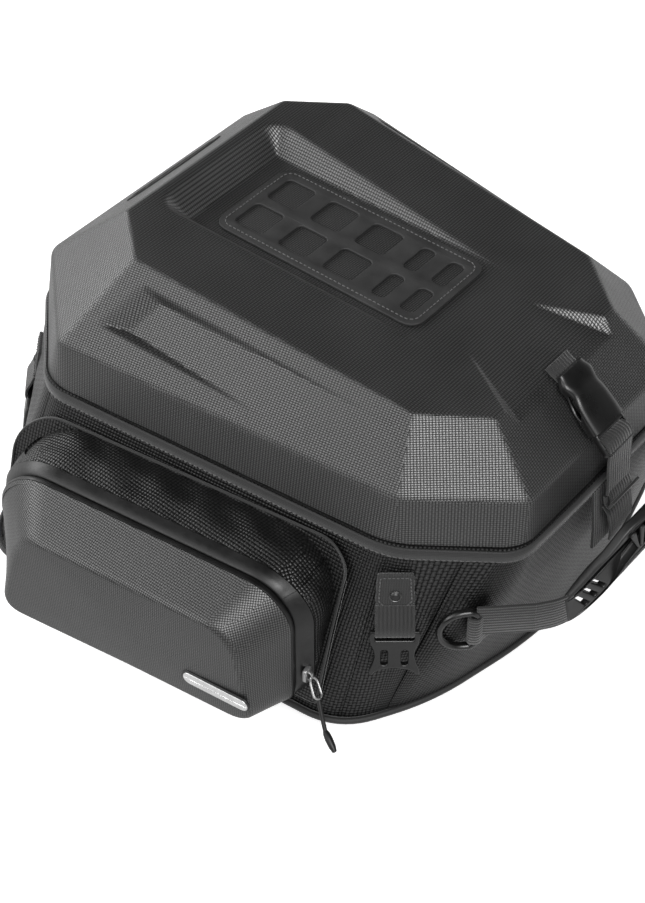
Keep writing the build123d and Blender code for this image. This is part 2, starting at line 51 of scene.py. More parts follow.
# ---------------------------------------------------------------- driving dimensions
# Half outlines, (x, half width), from the rear to the front.
PLATEAU = [(-131, 77), (-97, 106), (108, 92), (146, 62)]
BAND_TOP = [(-184, 97), (-118, 158), (123, 124), (183, 75)]
RIM = [(-190, 100), (-126, 166), (125, 133), (187, 85), (188, 35)]
BASE = [(-192, 128), (-150, 212), (126, 181), (157, 128), (177, 45)]
PLATEAU_Z, PLATEAU_FALL = 204.0, 0.084
BAND_Z, BAND_FALL = 162.5, 0.036
RIM_Z, RIM_FALL = 123.0, 0.028
LID_LIFT = 8.0
BINDING_H = 6.0
WEBBING_W = 25.0
WEBBING_T = 1.8

PAN_FLOOR_Z = 198.0
PAN_REAR, PAN_FRONT, PAN_HALF = -108.0, 92.0, 43.0
PAN_SLOPE = 1.05
PATCH = (162.0, 76.0, 2.2)
PATCH_X = -13.0

POCKET_FLANGE = [(-144, 8), (-144, 92), (-122, 113), (92, 116), (106, 104), (106, 12)]
POCKET_MOUTH = [(-126, 8), (-126, 86), (-102, 111), (74, 112), (93, 94), (93, 12)]
POCKET_FACE = [(-111.5, 12), (-95.5, 69), (-82.5, 93), (59.5, 97), (73.5, 83), (83.5, 19)]
MOUTH_OFF, FACE_OFF, ZIP_BAND = 51.0, 85.4, 4.3
ZIP_TAPE_W, ZIP_FLARE = 10.5, 8.0
NAMEPLATE = (50.0, 12.5, 1.8)
NAMEPLATE_S, NAMEPLATE_Z = 58.5, 38.8

FITTING_TOP = 109.0
TAB_W, TAB_H = 24.0, 27.0
LOOP_H = 9.0
BUCKLE_T = 4.6
BUCKLE_OUT = 4.4
BUCKLE_START, BUCKLE_LEN, BUCKLE_W, BUCKLE_HEIGHT = 6.0, 41.0, 29.0, 6.5
GRIP_H = 27.0
GRIP_PLAN = [(213.5, 66), (222.5, 42), (227, 18)]
GRIP_ARCH = [(70, -2), (64, 0), (55, 9), (42, 23.5), (25, 37), (0, 39)]
HANDLE_WEB = [(183.0, -105.0), (199.0, -89.5), (201.6, -87.0), (209.5, -76.5), (213.0, -68.5)]
HINGE_X, HINGE_Z, HINGE_W = -192.0, 135.3, 180.0
RING_BAR, RING_DEPTH, RING_WIRE = 27.0, 27.0, 2.2
RING_OUT = 6.4
HANDLE_Z = 78.0


# ---------------------------------------------------------------- vectors and frames
def unit(v):
    v = np.asarray(v, float)
    return v / np.maximum(np.linalg.norm(v, axis=-1, keepdims=True), 1e-9)


class Frame:
    """A place to build in: an origin and three axes."""

    def __init__(self, origin, x, z):
        self.o = np.asarray(origin, float)
        self.z = unit(z)
        self.x = unit(np.asarray(x, float) - self.z * np.dot(x, self.z))
        self.y = np.cross(self.z, self.x)

    def __call__(self, points):
        p = np.asarray(points, float)
        return self.o + p[..., 0:1] * self.x + p[..., 1:2] * self.y + p[..., 2:3] * self.z

    def shifted(self, x=0.0, y=0.0, z=0.0):
        return Frame(self([x, y, z]), self.x, self.z)


def soft_min(a, b, k):
    """The smaller of two, rounded where they meet."""
    h = np.clip(0.5 + 0.5 * (b - a) / k, 0, 1)
    return b + (a - b) * h - k * h * (1 - h)


def ease(t):
    t = np.clip(t, 0, 1)
    return t * t * (3 - 2 * t)


def ripple(p, scale, seed=0.0):
    """Smooth repeatable unevenness between -1 and 1 from a few crossed waves."""
    q = np.asarray(p, float) / scale
    x, y, z = q[..., 0] + seed, q[..., 1] + 1.7 * seed, q[..., 2] - seed
    a = np.sin(x * 2.1 + 1.3 * np.sin(y * 1.3 + z)) * np.cos(z * 1.7 + 0.8 * np.sin(x * 0.9))
    b = np.sin(y * 2.7 - 1.1 * np.sin(z * 1.9 + x * 0.6)) * np.cos(x * 1.1 - y * 0.4)
    return 0.5 * (a + b)


# ---------------------------------------------------------------- loops and rows
def plan(half, height, fall=0.0):
    """Closed plan outline on a plane that falls forward: right side first, then left."""
    both = [(x, -y) for x, y in half] + [(x, y) for x, y in reversed(half)]
    return np.array([(x, y, height - fall * x) for x, y in both])


def between(a, b, share):
    return np.asarray(a, float) + (np.asarray(b, float) - np.asarray(a, float)) * share


def rounded_loop(corners, cut, steps, bend=10):
    """A closed loop through the corners, each rounded over cut millimetres to either side."""
    corners = np.asarray(corners, float)
    count = len(corners)
    sides = np.linalg.norm(np.roll(corners, -1, axis=0) - corners, axis=1)
    room = 0.48 * np.minimum(sides, np.roll(sides, 1))
    cuts = np.minimum(np.broadcast_to(np.asarray(cut, float), count), room)
    steps = [steps] * count if isinstance(steps, int) else steps
    out = []
    for i in range(count):
        here, after = corners[i], corners[(i + 1) % count]
        into, away = unit(here - corners[i - 1]), unit(after - here)
        start, end = here - into * cuts[i], here + away * cuts[i]
        t = np.linspace(0, 1, bend, endpoint=False)[:, None]
        out.append(start * (1 - t) ** 2 + 2 * here * t * (1 - t) + end * t**2)
        t = np.linspace(0, 1, steps[i], endpoint=False)[:, None]
        out.append(between(end, after - away * cuts[(i + 1) % count], t))
    return np.vstack(out)


def soft_rows(rings, cuts, spans, bend=8):
    """Rows of points from the first ring to the last, rounded where they pass the rings between."""
    rows = []
    start = rings[0]
    for i in range(1, len(rings)):
        run = rings[i] - rings[i - 1]
        length = np.linalg.norm(run, axis=1, keepdims=True)
        last = i == len(rings) - 1
        cut = 0.0 if last else np.minimum(cuts[i - 1], 0.45 * length)
        end = rings[i] - unit(run) * cut
        rows += [between(start, end, t) for t in np.linspace(0, 1, spans[i - 1], endpoint=False)]
        if last:
            rows.append(rings[i])
            break
        onward = rings[i + 1] - rings[i]
        ahead = np.minimum(cuts[i - 1], 0.45 * np.linalg.norm(onward, axis=1, keepdims=True))
        start = rings[i] + unit(onward) * ahead
        for t in np.linspace(0, 1, bend, endpoint=False):
            rows.append(end * (1 - t) ** 2 + 2 * rings[i] * t * (1 - t) + start * t**2)
    return np.array(rows)


def row_normals(rows, closed=True):
    """Unit normals of a grid of points, rows by columns."""
    down = np.gradient(rows, axis=0)
    if closed:
        across = np.roll(rows, -1, axis=1) - np.roll(rows, 1, axis=1)
    else:
        across = np.gradient(rows, axis=1)
    return unit(np.cross(across, down))


def grid_faces(count, width, closed=True, first=0, flip=False):
    """Quads of a grid of points numbered row by row from first."""
    r = np.arange(count - 1)[:, None]
    c = np.arange(width if closed else width - 1)[None, :]
    n = (c + 1) % width
    quads = np.stack([r * width + c, r * width + n, (r + 1) * width + n, (r + 1) * width + c], -1)
    quads = quads.reshape(-1, 4) + first
    return [tuple(q) for q in (quads[:, ::-1] if flip else quads).tolist()]


# ---------------------------------------------------------------- meshes
def add_piece(name, points, faces, material, smooth=True, uv=None, angle=40.0):
    """A mesh object from points in millimetres. uv, if given, holds one pair per point."""
    mesh = bpy.data.meshes.new(name)
    mesh.from_pydata((np.asarray(points, float).reshape(-1, 3) * MM).tolist(), [], faces)
    mesh.validate()
    obj = bpy.data.objects.new(name, mesh)
    bpy.context.scene.collection.objects.link(obj)
    mesh.materials.append(material)
    if uv is not None:
        write_uv(mesh, np.asarray(uv, float).reshape(-1, 2)[corner_points(mesh)])
    if smooth:
        mesh.shade_smooth()
        if angle:
            mesh.set_sharp_from_angle(angle=math.radians(angle))
    return obj


def corner_points(mesh):
    index = np.zeros(len(mesh.loops), np.int32)
    mesh.loops.foreach_get("vertex_index", index)
    return index


def write_uv(mesh, pairs):
    layer = mesh.uv_layers.get("weave") or mesh.uv_layers.new(name="weave")
    layer.data.foreach_set("uv", np.asarray(pairs, np.float32).ravel())


def mesh_points(mesh):
    co = np.zeros(len(mesh.vertices) * 3)
    mesh.vertices.foreach_get("co", co)
    return co.reshape(-1, 3)


def set_points(mesh, points):
    mesh.vertices.foreach_set("co", np.asarray(points, float).ravel())
    mesh.update()


def lay_weave(obj, facets=None, normals=None):
    """Runs the weave level along each face, in millimetres, by its nearest facet direction."""
    mesh = obj.data
    if normals is None:
        normals = np.zeros(len(mesh.polygons) * 3)
        mesh.polygons.foreach_get("normal", normals)
        normals = normals.reshape(-1, 3)
    if facets is None:
        facets = [(math.cos(a) * c, math.sin(a) * c, s) for c, s in ((1, 0), (0.7, 0.7), (0.7, -0.7))
                  for a in np.linspace(0, 2 * math.pi, 12, endpoint=False)]
        facets += [(0, 0, 1), (0, 0, -1)]
    facets = unit(np.array(facets))
    pick = np.argmax(normals @ facets.T, axis=1)
    level = np.cross([0, 0, 1.0], facets)
    level[np.linalg.norm(level, axis=1) < 0.2] = (1, 0, 0)
    level = unit(level)
    rise = np.cross(facets, level)
    sizes = np.zeros(len(mesh.polygons), np.int32)
    mesh.polygons.foreach_get("loop_total", sizes)
    pick = np.repeat(pick, sizes)
    co = mesh_points(mesh)[corner_points(mesh)] / MM
    write_uv(mesh, np.stack([(co * level[pick]).sum(1), (co * rise[pick]).sum(1)], 1))


def facet_normals(*ring_pairs):
    """Outward normals of the facets between pairs of corner rings."""
    out = []
    for low, high in ring_pairs:
        for i in range(len(low)):
            j = (i + 1) % len(low)
            across = (low[j] - low[i]) + (high[j] - high[i])
            out.append(unit(np.cross(across, (high[i] + high[j]) - (low[i] + low[j]))))
    return out


def closed_shell(name, outer, inner, material):
    """A cap-shaped shell: two stacks of rings joined at the first ring and closed at the last."""
    rows, width = outer.shape[:2]
    deep = inner.shape[0]
    base = rows * width
    points = np.vstack([outer.reshape(-1, 3), inner.reshape(-1, 3),
                        outer[-1].mean(0)[None], inner[-1].mean(0)[None]])
    faces = grid_faces(rows, width) + grid_faces(deep, width, first=base, flip=True)
    centre = len(points) - 2
    for i in range(width):
        j = (i + 1) % width
        faces.append((j, i, base + i, base + j))
        top = (rows - 1) * width
        faces.append((top + i, top + j, centre))
        top = base + (deep - 1) * width
        faces.append((top + j, top + i, centre + 1))
    return add_piece(name, points, faces, material)


def ring_piece(name, section, material, uv=None):
    """A solid ring from a closed section: rows run round the section, columns round the ring."""
    count, width = section.shape[:2]
    loop = np.vstack([section, section[:1]])
    faces = grid_faces(count + 1, width)
    faces = [tuple(v % (count * width) for v in f) for f in faces]
    return add_piece(name, loop[:-1], faces, material, uv=uv)


def sheet(name, rows, thick, material, closed=False, bulge=None):
    """A sheet of fabric with thickness, from a grid of outer points; its edges are closed."""
    count, width = rows.shape[:2]
    normals = row_normals(rows, closed)
    inner = rows - normals * thick
    points = np.vstack([rows.reshape(-1, 3), inner.reshape(-1, 3)])
    base = count * width
    faces = grid_faces(count, width, closed) + grid_faces(count, width, closed, first=base, flip=True)
    span = width if closed else width - 1
    top = (count - 1) * width
    for i in range(span):
        j = (i + 1) % width
        faces.append((j, i, base + i, base + j))
        faces.append((top + i, top + j, base + top + j, base + top + i))
    if not closed:
        for r in range(count - 1):
            a, b = r * width, (r + 1) * width
            faces.append((a, b, base + b, base + a))
            a, b = a + width - 1, b + width - 1
            faces.append((b, a, base + a, base + b))
    return add_piece(name, points, faces, material, angle=50)


def band_section(width, thick, round_by=0.5, steps=3):
    """Closed cross section of webbing: width along x, thickness along y, edges rounded."""
    w, t = width / 2, thick / 2
    r = min(round_by, t)
    out = []
    for cx, cy, a0 in ((w - r, t - r, 0), (-w + r, t - r, 90), (-w + r, -t + r, 180), (w - r, -t + r, 270)):
        for a in np.radians(np.linspace(a0, a0 + 90, steps)):
            out.append((cx + r * math.cos(a), cy + r * math.sin(a)))
    return np.array(out)


def smooth_path(points, step=2.0, bend=6.0):
    """An open path through the points, its corners rounded, sampled every step."""
    points = np.asarray(points, float)
    out = [points[0]]
    for i in range(1, len(points) - 1):
        before, after = points[i - 1] - points[i], points[i + 1] - points[i]
        cut = min(bend, 0.45 * np.linalg.norm(before), 0.45 * np.linalg.norm(after))
        a, b = points[i] + unit(before) * cut, points[i] + unit(after) * cut
        for t in np.linspace(0, 1, 7):
            out.append(a * (1 - t) ** 2 + 2 * points[i] * t * (1 - t) + b * t**2)
    out.append(points[-1])
    out = np.array(out)
    gaps = np.linalg.norm(np.diff(out, axis=0), axis=1)
    at = np.concatenate([[0], np.cumsum(gaps)])
    count = max(2, int(round(at[-1] / step)) + 1)
    want = np.linspace(0, at[-1], count)
    return np.stack([np.interp(want, at, out[:, k]) for k in range(out.shape[1])], 1)


def sweep(name, path, section, side, material, closed=False, scale=None):
    """A section carried along a path; side is the direction of the section's x axis."""
    path = np.asarray(path, float)
    count = len(path)
    if closed:
        along = np.roll(path, -1, 0) - np.roll(path, 1, 0)
    else:
        along = np.gradient(path, axis=0)
    along = unit(along)
    side = np.broadcast_to(np.asarray(side, float), path.shape)
    side = unit(side - along * (side * along).sum(1, keepdims=True))
    up = np.cross(along, side)
    scale = np.ones(count) if scale is None else np.asarray(scale, float)
    sx, sy = section[:, 0][None, :, None], section[:, 1][None, :, None]
    rows = path[:, None] + (side[:, None] * sx + up[:, None] * sy) * scale[:, None, None]
    width = len(section)
    gaps = np.linalg.norm(np.diff(path, axis=0), axis=1)
    run = np.concatenate([[0], np.cumsum(gaps)])
    round_it = np.concatenate([[0], np.cumsum(np.linalg.norm(np.diff(section, axis=0), axis=1))])
    u = np.broadcast_to(section[:, 0][None, :], (count, width))
    v = np.broadcast_to(run[:, None], (count, width))
    if closed:
        faces = grid_faces(count + 1, width, flip=True)
        faces = [tuple(q % (count * width) for q in f) for f in faces]
    else:
        faces = grid_faces(count, width, flip=True)
        faces.append(tuple(range(width)))
        faces.append(tuple(reversed(range((count - 1) * width, count * width))))
    obj = add_piece(name, rows, faces, material, uv=np.stack([u, v], -1))
    return obj


def circle(radius, steps=12):
    a = np.linspace(0, 2 * math.pi, steps, endpoint=False)
    return np.stack([np.cos(a), np.sin(a)], 1) * radius


def lathe(name, profile, place, material, steps=28):
    """A turned solid: profile holds (radius, height) pairs, first and last on the axis."""
    a = np.linspace(0, 2 * math.pi, steps, endpoint=False)
    inner = profile[1:-1]
    rows = np.array([[(r * math.cos(t), r * math.sin(t), h) for t in a] for r, h in inner])
    points = np.vstack([rows.reshape(-1, 3), [(0, 0, profile[0][1]), (0, 0, profile[-1][1])]])
    faces = grid_faces(len(inner), steps)
    low, high = len(points) - 2, len(points) - 1
    last = (len(inner) - 1) * steps
    for i in range(steps):
        j = (i + 1) % steps
        faces.append((j, i, low))
        faces.append((last + i, last + j, high))
    return add_piece(name, place(points), faces, material)


def plate(name, outline, holes, thick, place, material, bevel=0.5, dish=None):
    """A flat plate with rounded edges, cut from closed outlines, lying from z = 0 to z = thick."""
    curve = bpy.data.curves.new(name, "CURVE")
    curve.dimensions = "2D"
    curve.fill_mode = "BOTH"
    curve.extrude = (thick / 2 - bevel)
    curve.bevel_depth = bevel
    curve.bevel_resolution = 2
    curve.offset = -bevel
    for loop in [outline] + list(holes):
        spline = curve.splines.new("POLY")
        spline.points.add(len(loop) - 1)
        for point, (x, y) in zip(spline.points, loop):
            point.co = (x, y, 0, 1)
        spline.use_cyclic_u = True
    holder = bpy.data.objects.new(name, curve)
    bpy.context.scene.collection.objects.link(holder)
    bpy.context.view_layer.update()
    made = bpy.data.meshes.new_from_object(holder.evaluated_get(bpy.context.evaluated_depsgraph_get()))
    bpy.data.objects.remove(holder)
    bpy.data.curves.remove(curve)
    points = mesh_points(made)
    points[:, 2] += thick / 2
    if dish is not None:
        points = dish(points)
    faces = [tuple(p.vertices) for p in made.polygons]
    bpy.data.meshes.remove(made)
    obj = add_piece(name, place(points), faces, material, angle=35)
    weld(obj)
    return obj


def weld(obj, distance=0.01):
    import bmesh
    work = bmesh.new()
    work.from_mesh(obj.data)
    bmesh.ops.remove_doubles(work, verts=work.verts, dist=distance * MM)
    bmesh.ops.recalc_face_normals(work, faces=work.faces)
    work.to_mesh(obj.data)
    work.free()


def rounded_rect(w, h, r, cx=0.0, cy=0.0, steps=6):
    out = []
    r = min(r, w / 2 - 0.01, h / 2 - 0.01)
    for sx, sy, a0 in ((1, 1, 0), (-1, 1, 90), (-1, -1, 180), (1, -1, 270)):
        for a in np.radians(np.linspace(a0, a0 + 90, steps)):
            out.append((cx + sx * (w / 2 - r) + r * math.cos(a), cy + sy * (h / 2 - r) + r * math.sin(a)))
    return out


def rounded_outline(points, cut, steps=1, bend=6):
    flat = np.array([(x, y, 0) for x, y in points], float)
    return [(p[0], p[1]) for p in rounded_loop(flat, cut, steps, bend)]


def join(name, pieces):
    """Several meshes made into one piece."""
    bpy.ops.object.select_all(action="DESELECT")
    for piece in pieces:
        piece.select_set(True)
    bpy.context.view_layer.objects.active = pieces[0]
    bpy.ops.object.join()
    pieces[0].name = name
    pieces[0].data.name = name
    return pieces[0]


def mirrored(piece, name):
    """A copy reflected to the left side."""
    mesh = piece.data.copy()
    points = mesh_points(mesh)
    points[:, 1] *= -1
    set_points(mesh, points)
    mesh.flip_normals()
    obj = bpy.data.objects.new(name, mesh)
    bpy.context.scene.collection.objects.link(obj)
    return obj


def stitches(name, path, normals, material, pitch=3.4, length=2.3, radius=0.38, lift=0.15):
    """A row of thread stitches along a path, each a small pinched loop of thread."""
    path = np.asarray(path, float)
    gaps = np.linalg.norm(np.diff(path, axis=0), axis=1)
    at = np.concatenate([[0], np.cumsum(gaps)])
    count = max(1, int(at[-1] // pitch))
    middles = (np.arange(count) + 0.5) * at[-1] / count

    def where(d, values):
        return np.stack([np.interp(d, at, values[:, k]) for k in range(3)], 1)

    normals = np.broadcast_to(np.asarray(normals, float), path.shape)
    rings, sides = [], 6
    a = np.linspace(0, 2 * math.pi, sides, endpoint=False)
    profile = [(-0.5, 0.35, -0.3), (-0.3, 0.95, 0.05), (0, 1.0, 0.2), (0.3, 0.95, 0.05), (0.5, 0.35, -0.3)]
    for share, size, height in profile:
        d = np.clip(middles + share * length, 0, at[-1])
        p, n = where(d, path), unit(where(d, normals))
        ahead = where(np.clip(d + 0.5, 0, at[-1]), path) - where(np.clip(d - 0.5, 0, at[-1]), path)
        across = unit(np.cross(unit(ahead), n))
        centre = p + n * (lift + height * radius)
        ring = centre[:, None] + radius * size * (
            across[:, None] * np.cos(a)[None, :, None] + n[:, None] * np.sin(a)[None, :, None])
        rings.append(ring)
    rings = np.stack(rings, 1)
    points = rings.reshape(-1, 3)
    per = len(profile) * sides
    one = grid_faces(len(profile), sides)
    one.append(tuple(reversed(range(sides))))
    one.append(tuple(range(per - sides, per)))
    faces = [tuple(v + k * per for v in f) for k in range(count) for f in one]
    return add_piece(name, points, faces, material)


def settle(obj, body, node=None, slot=None):
    """Puts a piece on its body and hides the CAD node it stands in for; slot is not used."""
    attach(obj, body)
    if node:
        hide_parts(node)


def cut(obj, cutter):
    """Takes one solid out of another."""
    change = obj.modifiers.new("cut", "BOOLEAN")
    change.operation = "DIFFERENCE"
    change.solver = "EXACT"
    change.object = cutter
    bpy.context.view_layer.update()
    made = bpy.data.meshes.new_from_object(obj.evaluated_get(bpy.context.evaluated_depsgraph_get()))
    obj.modifiers.clear()
    old = obj.data
    obj.data = made
    bpy.data.meshes.remove(old)
    spare = cutter.data
    bpy.data.objects.remove(cutter)
    bpy.data.meshes.remove(spare)


# ---------------------------------------------------------------- materials
class Graph:
    """A node material under construction; its helpers take and return sockets or numbers."""

    def __init__(self, name):
        self.material = bpy.data.materials.new(name)
        self.material.use_nodes = True
        self.tree = self.material.node_tree
        self.tree.nodes.clear()
        self.shader = self.node("ShaderNodeBsdfPrincipled")
        out = self.node("ShaderNodeOutputMaterial")
        self.tree.links.new(self.shader.outputs[0], out.inputs["Surface"])

    def node(self, kind, **settings):
        made = self.tree.nodes.new(kind)
        for key, value in settings.items():
            setattr(made, key, value)
        return made

    def feed(self, value, socket):
        if isinstance(value, bpy.types.NodeSocket):
            self.tree.links.new(value, socket)
        else:
            socket.default_value = value

    def math(self, operation, *values, clamp=False):
        made = self.node("ShaderNodeMath", operation=operation, use_clamp=clamp)
        for value, socket in zip(values, made.inputs):
            self.feed(value, socket)
        return made.outputs[0]

    def place(self):
        """Position on the object, in millimetres."""
        scaled = self.node("ShaderNodeVectorMath", operation="SCALE")
        self.feed(self.node("ShaderNodeTexCoord").outputs["Object"], scaled.inputs[0])
        scaled.inputs["Scale"].default_value = 1 / MM
        return scaled.outputs[0]

    def weave_level(self):
        """The two weave coordinates, in millimetres."""
        split = self.node("ShaderNodeSeparateXYZ")
        self.feed(self.node("ShaderNodeUVMap", uv_map="weave").outputs[0], split.inputs[0])
        return split.outputs[0], split.outputs[1]

    def noise(self, size, detail=3.0, rough=0.55, vector=None):
        made = self.node("ShaderNodeTexNoise")
        self.feed(self.place() if vector is None else vector, made.inputs["Vector"])
        made.inputs["Scale"].default_value = 1.0 / size
        made.inputs["Detail"].default_value = detail
        made.inputs["Roughness"].default_value = rough
        return made.outputs["Fac"]

    def spread(self, value, low, high, to_low=0.0, to_high=1.0):
        made = self.node("ShaderNodeMapRange")
        for v, socket in zip((value, low, high, to_low, to_high), made.inputs):
            self.feed(v, socket)
        return made.outputs[0]

    def blend(self, share, a, b, mode="MIX"):
        made = self.node("ShaderNodeMix", data_type="RGBA", blend_type=mode)
        self.feed(share, made.inputs[0])
        self.feed(colour(a), made.inputs[6])
        self.feed(colour(b), made.inputs[7])
        return made.outputs[2]

    def edge(self, size=1.2):
        """Near 1 where the surface turns sharply outward."""
        bevel = self.node("ShaderNodeBevel", samples=4)
        bevel.inputs["Radius"].default_value = size * MM
        dot = self.node("ShaderNodeVectorMath", operation="DOT_PRODUCT")
        self.feed(bevel.outputs[0], dot.inputs[0])
        self.feed(self.node("ShaderNodeNewGeometry").outputs["Normal"], dot.inputs[1])
        return self.spread(dot.outputs["Value"], 0.98, 0.80)

    def bump(self, height, depth, strength=1.0, under=None):
        made = self.node("ShaderNodeBump")
        made.inputs["Strength"].default_value = strength
        made.inputs["Distance"].default_value = depth * MM
        self.feed(height, made.inputs["Height"])
        if under is not None:
            self.feed(under, made.inputs["Normal"])
        return made.outputs[0]

    def finish(self, base, rough, normal=None, **more):
        self.feed(colour(base), self.shader.inputs["Base Color"])
        self.feed(rough, self.shader.inputs["Roughness"])
        if normal is not None:
            self.feed(normal, self.shader.inputs["Normal"])
        for key, value in more.items():
            self.feed(value, self.shader.inputs[key.replace("_", " ").title().replace("Ior", "IOR")])
        return self.material


def colour(value):
    """A grey level, a triple or a socket as something a colour input takes."""
    if isinstance(value, (int, float)):
        return (value, value, value, 1.0)
    if isinstance(value, tuple) and len(value) == 3:
        return (*value, 1.0)
    return value


def plain_weave(g, across, along):
    """Height of an over-and-under weave with the given thread spacings."""
    u, v = g.weave_level()
    wave_u = g.math("SINE", g.math("MULTIPLY", u, math.pi / across))
    wave_v = g.math("SINE", g.math("MULTIPLY", v, math.pi / along))
    thread_u, thread_v = g.math("ABSOLUTE", wave_u), g.math("ABSOLUTE", wave_v)
    over = g.math("GREATER_THAN", g.math("MULTIPLY", wave_u, wave_v), 0.0)
    warp = g.math("MULTIPLY", g.math("POWER", thread_u, 0.6), g.math("ADD", 0.55, g.math("MULTIPLY", thread_v, 0.45)))
    weft = g.math("MULTIPLY", g.math("POWER", thread_v, 0.6), g.math("ADD", 0.55, g.math("MULTIPLY", thread_u, 0.45)))
    height = g.math("ADD", g.math("MULTIPLY", over, warp),
                    g.math("MULTIPLY", g.math("SUBTRACT", 1.0, over), weft))
    return height, over


def woven(name, dark, light, across, along, depth, rough=0.55, sheen=0.25, fuzz=0.5, lift=0.0, specular=0.5):
    """Woven cloth: threads with their own height and shine, colour that follows thread height as painted shade in the
    gaps and a painted highlight on the crowns, warp and weft painted apart as a painted sheen, slow soiling over the
    piece, and a painted highlight along outward edges.
    """
    g = Graph(name)
    height, over = plain_weave(g, across, along)
    slow = g.noise(38.0, 4.0)
    fibre = g.noise(0.7, 2.0)
    # Painted light: colour follows thread height, so the gaps between threads carry painted shade and the crowns a
    # painted highlight; warp-on-top cells are painted lighter than weft-on-top cells as a painted sheen. The fibre
    # noise is uneven tone.
    tone = g.math("ADD", g.math("MULTIPLY", height, 0.75), g.math("MULTIPLY", over, 0.25))
    tone = g.math("ADD", tone, g.math("MULTIPLY", g.math("SUBTRACT", fibre, 0.5), fuzz))
    base = g.blend(g.spread(tone, 0.35, 0.95), dark, light)
    base = g.blend(g.spread(slow, 0.35, 0.75, 0.0, 0.22), base, light)
    # Painted highlight: outward edges are lightened toward a tone brighter than the thread crowns, by the share lift.
    base = g.blend(g.math("MULTIPLY", g.edge(2.0), lift), base, colour(light * 2.2))
    surface = g.math("ADD", height, g.math("MULTIPLY", fibre, 0.25))
    normal = g.bump(surface, depth)
    roughness = g.spread(g.math("ADD", g.math("MULTIPLY", height, -0.16), slow), -0.1, 1.0, rough - 0.1, rough + 0.14)
    shine = g.spread(height, 0.35, 0.95, specular * 0.35, specular * 1.6)
    return g.finish(base, roughness, normal, sheen_weight=sheen, sheen_roughness=0.4, specular_ior_level=shine)


def ribbed(name, dark, light, rib, depth, rough=0.6, along_too=0.0):
    """Ribbed tape or webbing: ribs run along the strap, crossed by fine picks."""
    g = Graph(name)
    u, v = g.weave_level()
    ribs = g.math("ABSOLUTE", g.math("SINE", g.math("MULTIPLY", u, math.pi / rib)))
    slant = g.math("ADD", v, g.math("MULTIPLY", g.math("PINGPONG", u, rib / 2), 0.9))
    picks = g.math("ABSOLUTE", g.math("SINE", g.math("MULTIPLY", slant, math.pi / 1.1)))
    fibre = g.noise(0.5, 2.0)
    height = g.math("ADD", g.math("MULTIPLY", ribs, 0.7), g.math("MULTIPLY", picks, 0.3))
    # Painted light: colour follows rib height, so the valleys carry painted shade and the rib crowns a painted
    # highlight. The fibre noise is uneven tone.
    tone = g.math("ADD", height, g.math("MULTIPLY", g.math("SUBTRACT", fibre, 0.5), 0.5))
    base = g.blend(g.spread(tone, 0.1, 1.1), dark, light)
    worn = g.math("MULTIPLY", g.edge(1.0), 0.35)
    base = g.blend(worn, base, light * 2.0)
    normal = g.bump(height, depth)
    return g.finish(base, g.spread(fibre, 0.3, 0.7, rough - 0.08, rough + 0.1), normal,
                    sheen_weight=0.35, sheen_roughness=0.5)


def moulded(name, base_tone, rough, grain=0.6, depth=0.03, wear=0.25, coat=0.0):
    """Moulded plastic or rubber: fine spark grain, uneven gloss, rubbed edges."""
    g = Graph(name)
    fine, slow = g.noise(grain, 3.0), g.noise(14.0, 3.0)
    rubbed = g.math("MULTIPLY", g.edge(0.8), g.spread(g.noise(4.0), 0.35, 0.6, 0.3, 1.0))
    base = g.blend(g.spread(slow, 0.3, 0.7), base_tone * 0.8, base_tone * 1.25)
    base = g.blend(g.math("MULTIPLY", rubbed, wear), base, min(0.5, base_tone * 4 + 0.05))
    roughness = g.math("ADD", g.spread(slow, 0.3, 0.7, rough - 0.06, rough + 0.06),
                       g.math("MULTIPLY", rubbed, -0.1))
    return g.finish(base, roughness, g.bump(fine, depth), coat_weight=coat, coat_roughness=0.2)


def metal(name, tone, rough, wear_tone):
    """Plated metal with fine tumbling marks and brighter rubbed edges."""
    g = Graph(name)
    fine, slow = g.noise(0.25, 3.0), g.noise(5.0, 3.0)
    base = g.blend(g.spread(slow, 0.3, 0.7), tone * 0.85, tone)
    base = g.blend(g.edge(0.5), base, wear_tone)
    roughness = g.spread(g.math("ADD", fine, slow), 0.7, 1.3, rough * 0.8, rough * 1.3)
    return g.finish(base, roughness, g.bump(fine, 0.01), metallic=0.9)


def coated(name, tone, rough):
    """Rubber-coated zip tape: satin skin over a faint weave, with soft creases."""
    g = Graph(name)
    height, _ = plain_weave(g, 0.9, 0.9)
    crease, slow = g.noise(9.0, 4.0, 0.6), g.noise(30.0, 3.0)
    base = g.blend(g.spread(slow, 0.3, 0.7), tone * 0.8, tone * 1.3)
    normal = g.bump(crease, 0.35, 0.5, g.bump(height, 0.02))
    return g.finish(base, g.spread(crease, 0.3, 0.7, rough - 0.06, rough + 0.1), normal)


def thread_material():
    g = Graph("sewing_thread")
    twist = g.node("ShaderNodeTexWave", wave_type="BANDS", bands_direction="DIAGONAL")
    g.feed(g.place(), twist.inputs["Vector"])
    twist.inputs["Scale"].default_value = 1.6
    # Painted light: colour follows the twist bands that also drive the bump, so the grooves carry painted shade and the
    # crowns a painted highlight.
    base = g.blend(twist.outputs["Fac"], 0.035, 0.12)
    return g.finish(base, 0.6, g.bump(twist.outputs["Fac"], 0.05), sheen_weight=0.4)


def reflector_material():
    g = Graph("reflective_insert")
    cells = g.node("ShaderNodeTexVoronoi", feature="DISTANCE_TO_EDGE")
    g.feed(g.place(), cells.inputs["Vector"])
    cells.inputs["Scale"].default_value = 0.5
    rim = g.spread(cells.outputs["Distance"], 0.0, 0.12)
    base = g.blend(rim, 0.20, 0.52)
    return g.finish(base, g.spread(g.noise(6.0), 0.3, 0.7, 0.18, 0.32), g.bump(rim, 0.08), metallic=0.35, coat_weight=0.6)


def tone(level):
    """Linear value of an 8-bit display grey."""
    s = level / 255
    return s / 12.92 if s <= 0.04045 else ((s + 0.055) / 1.055) ** 2.4
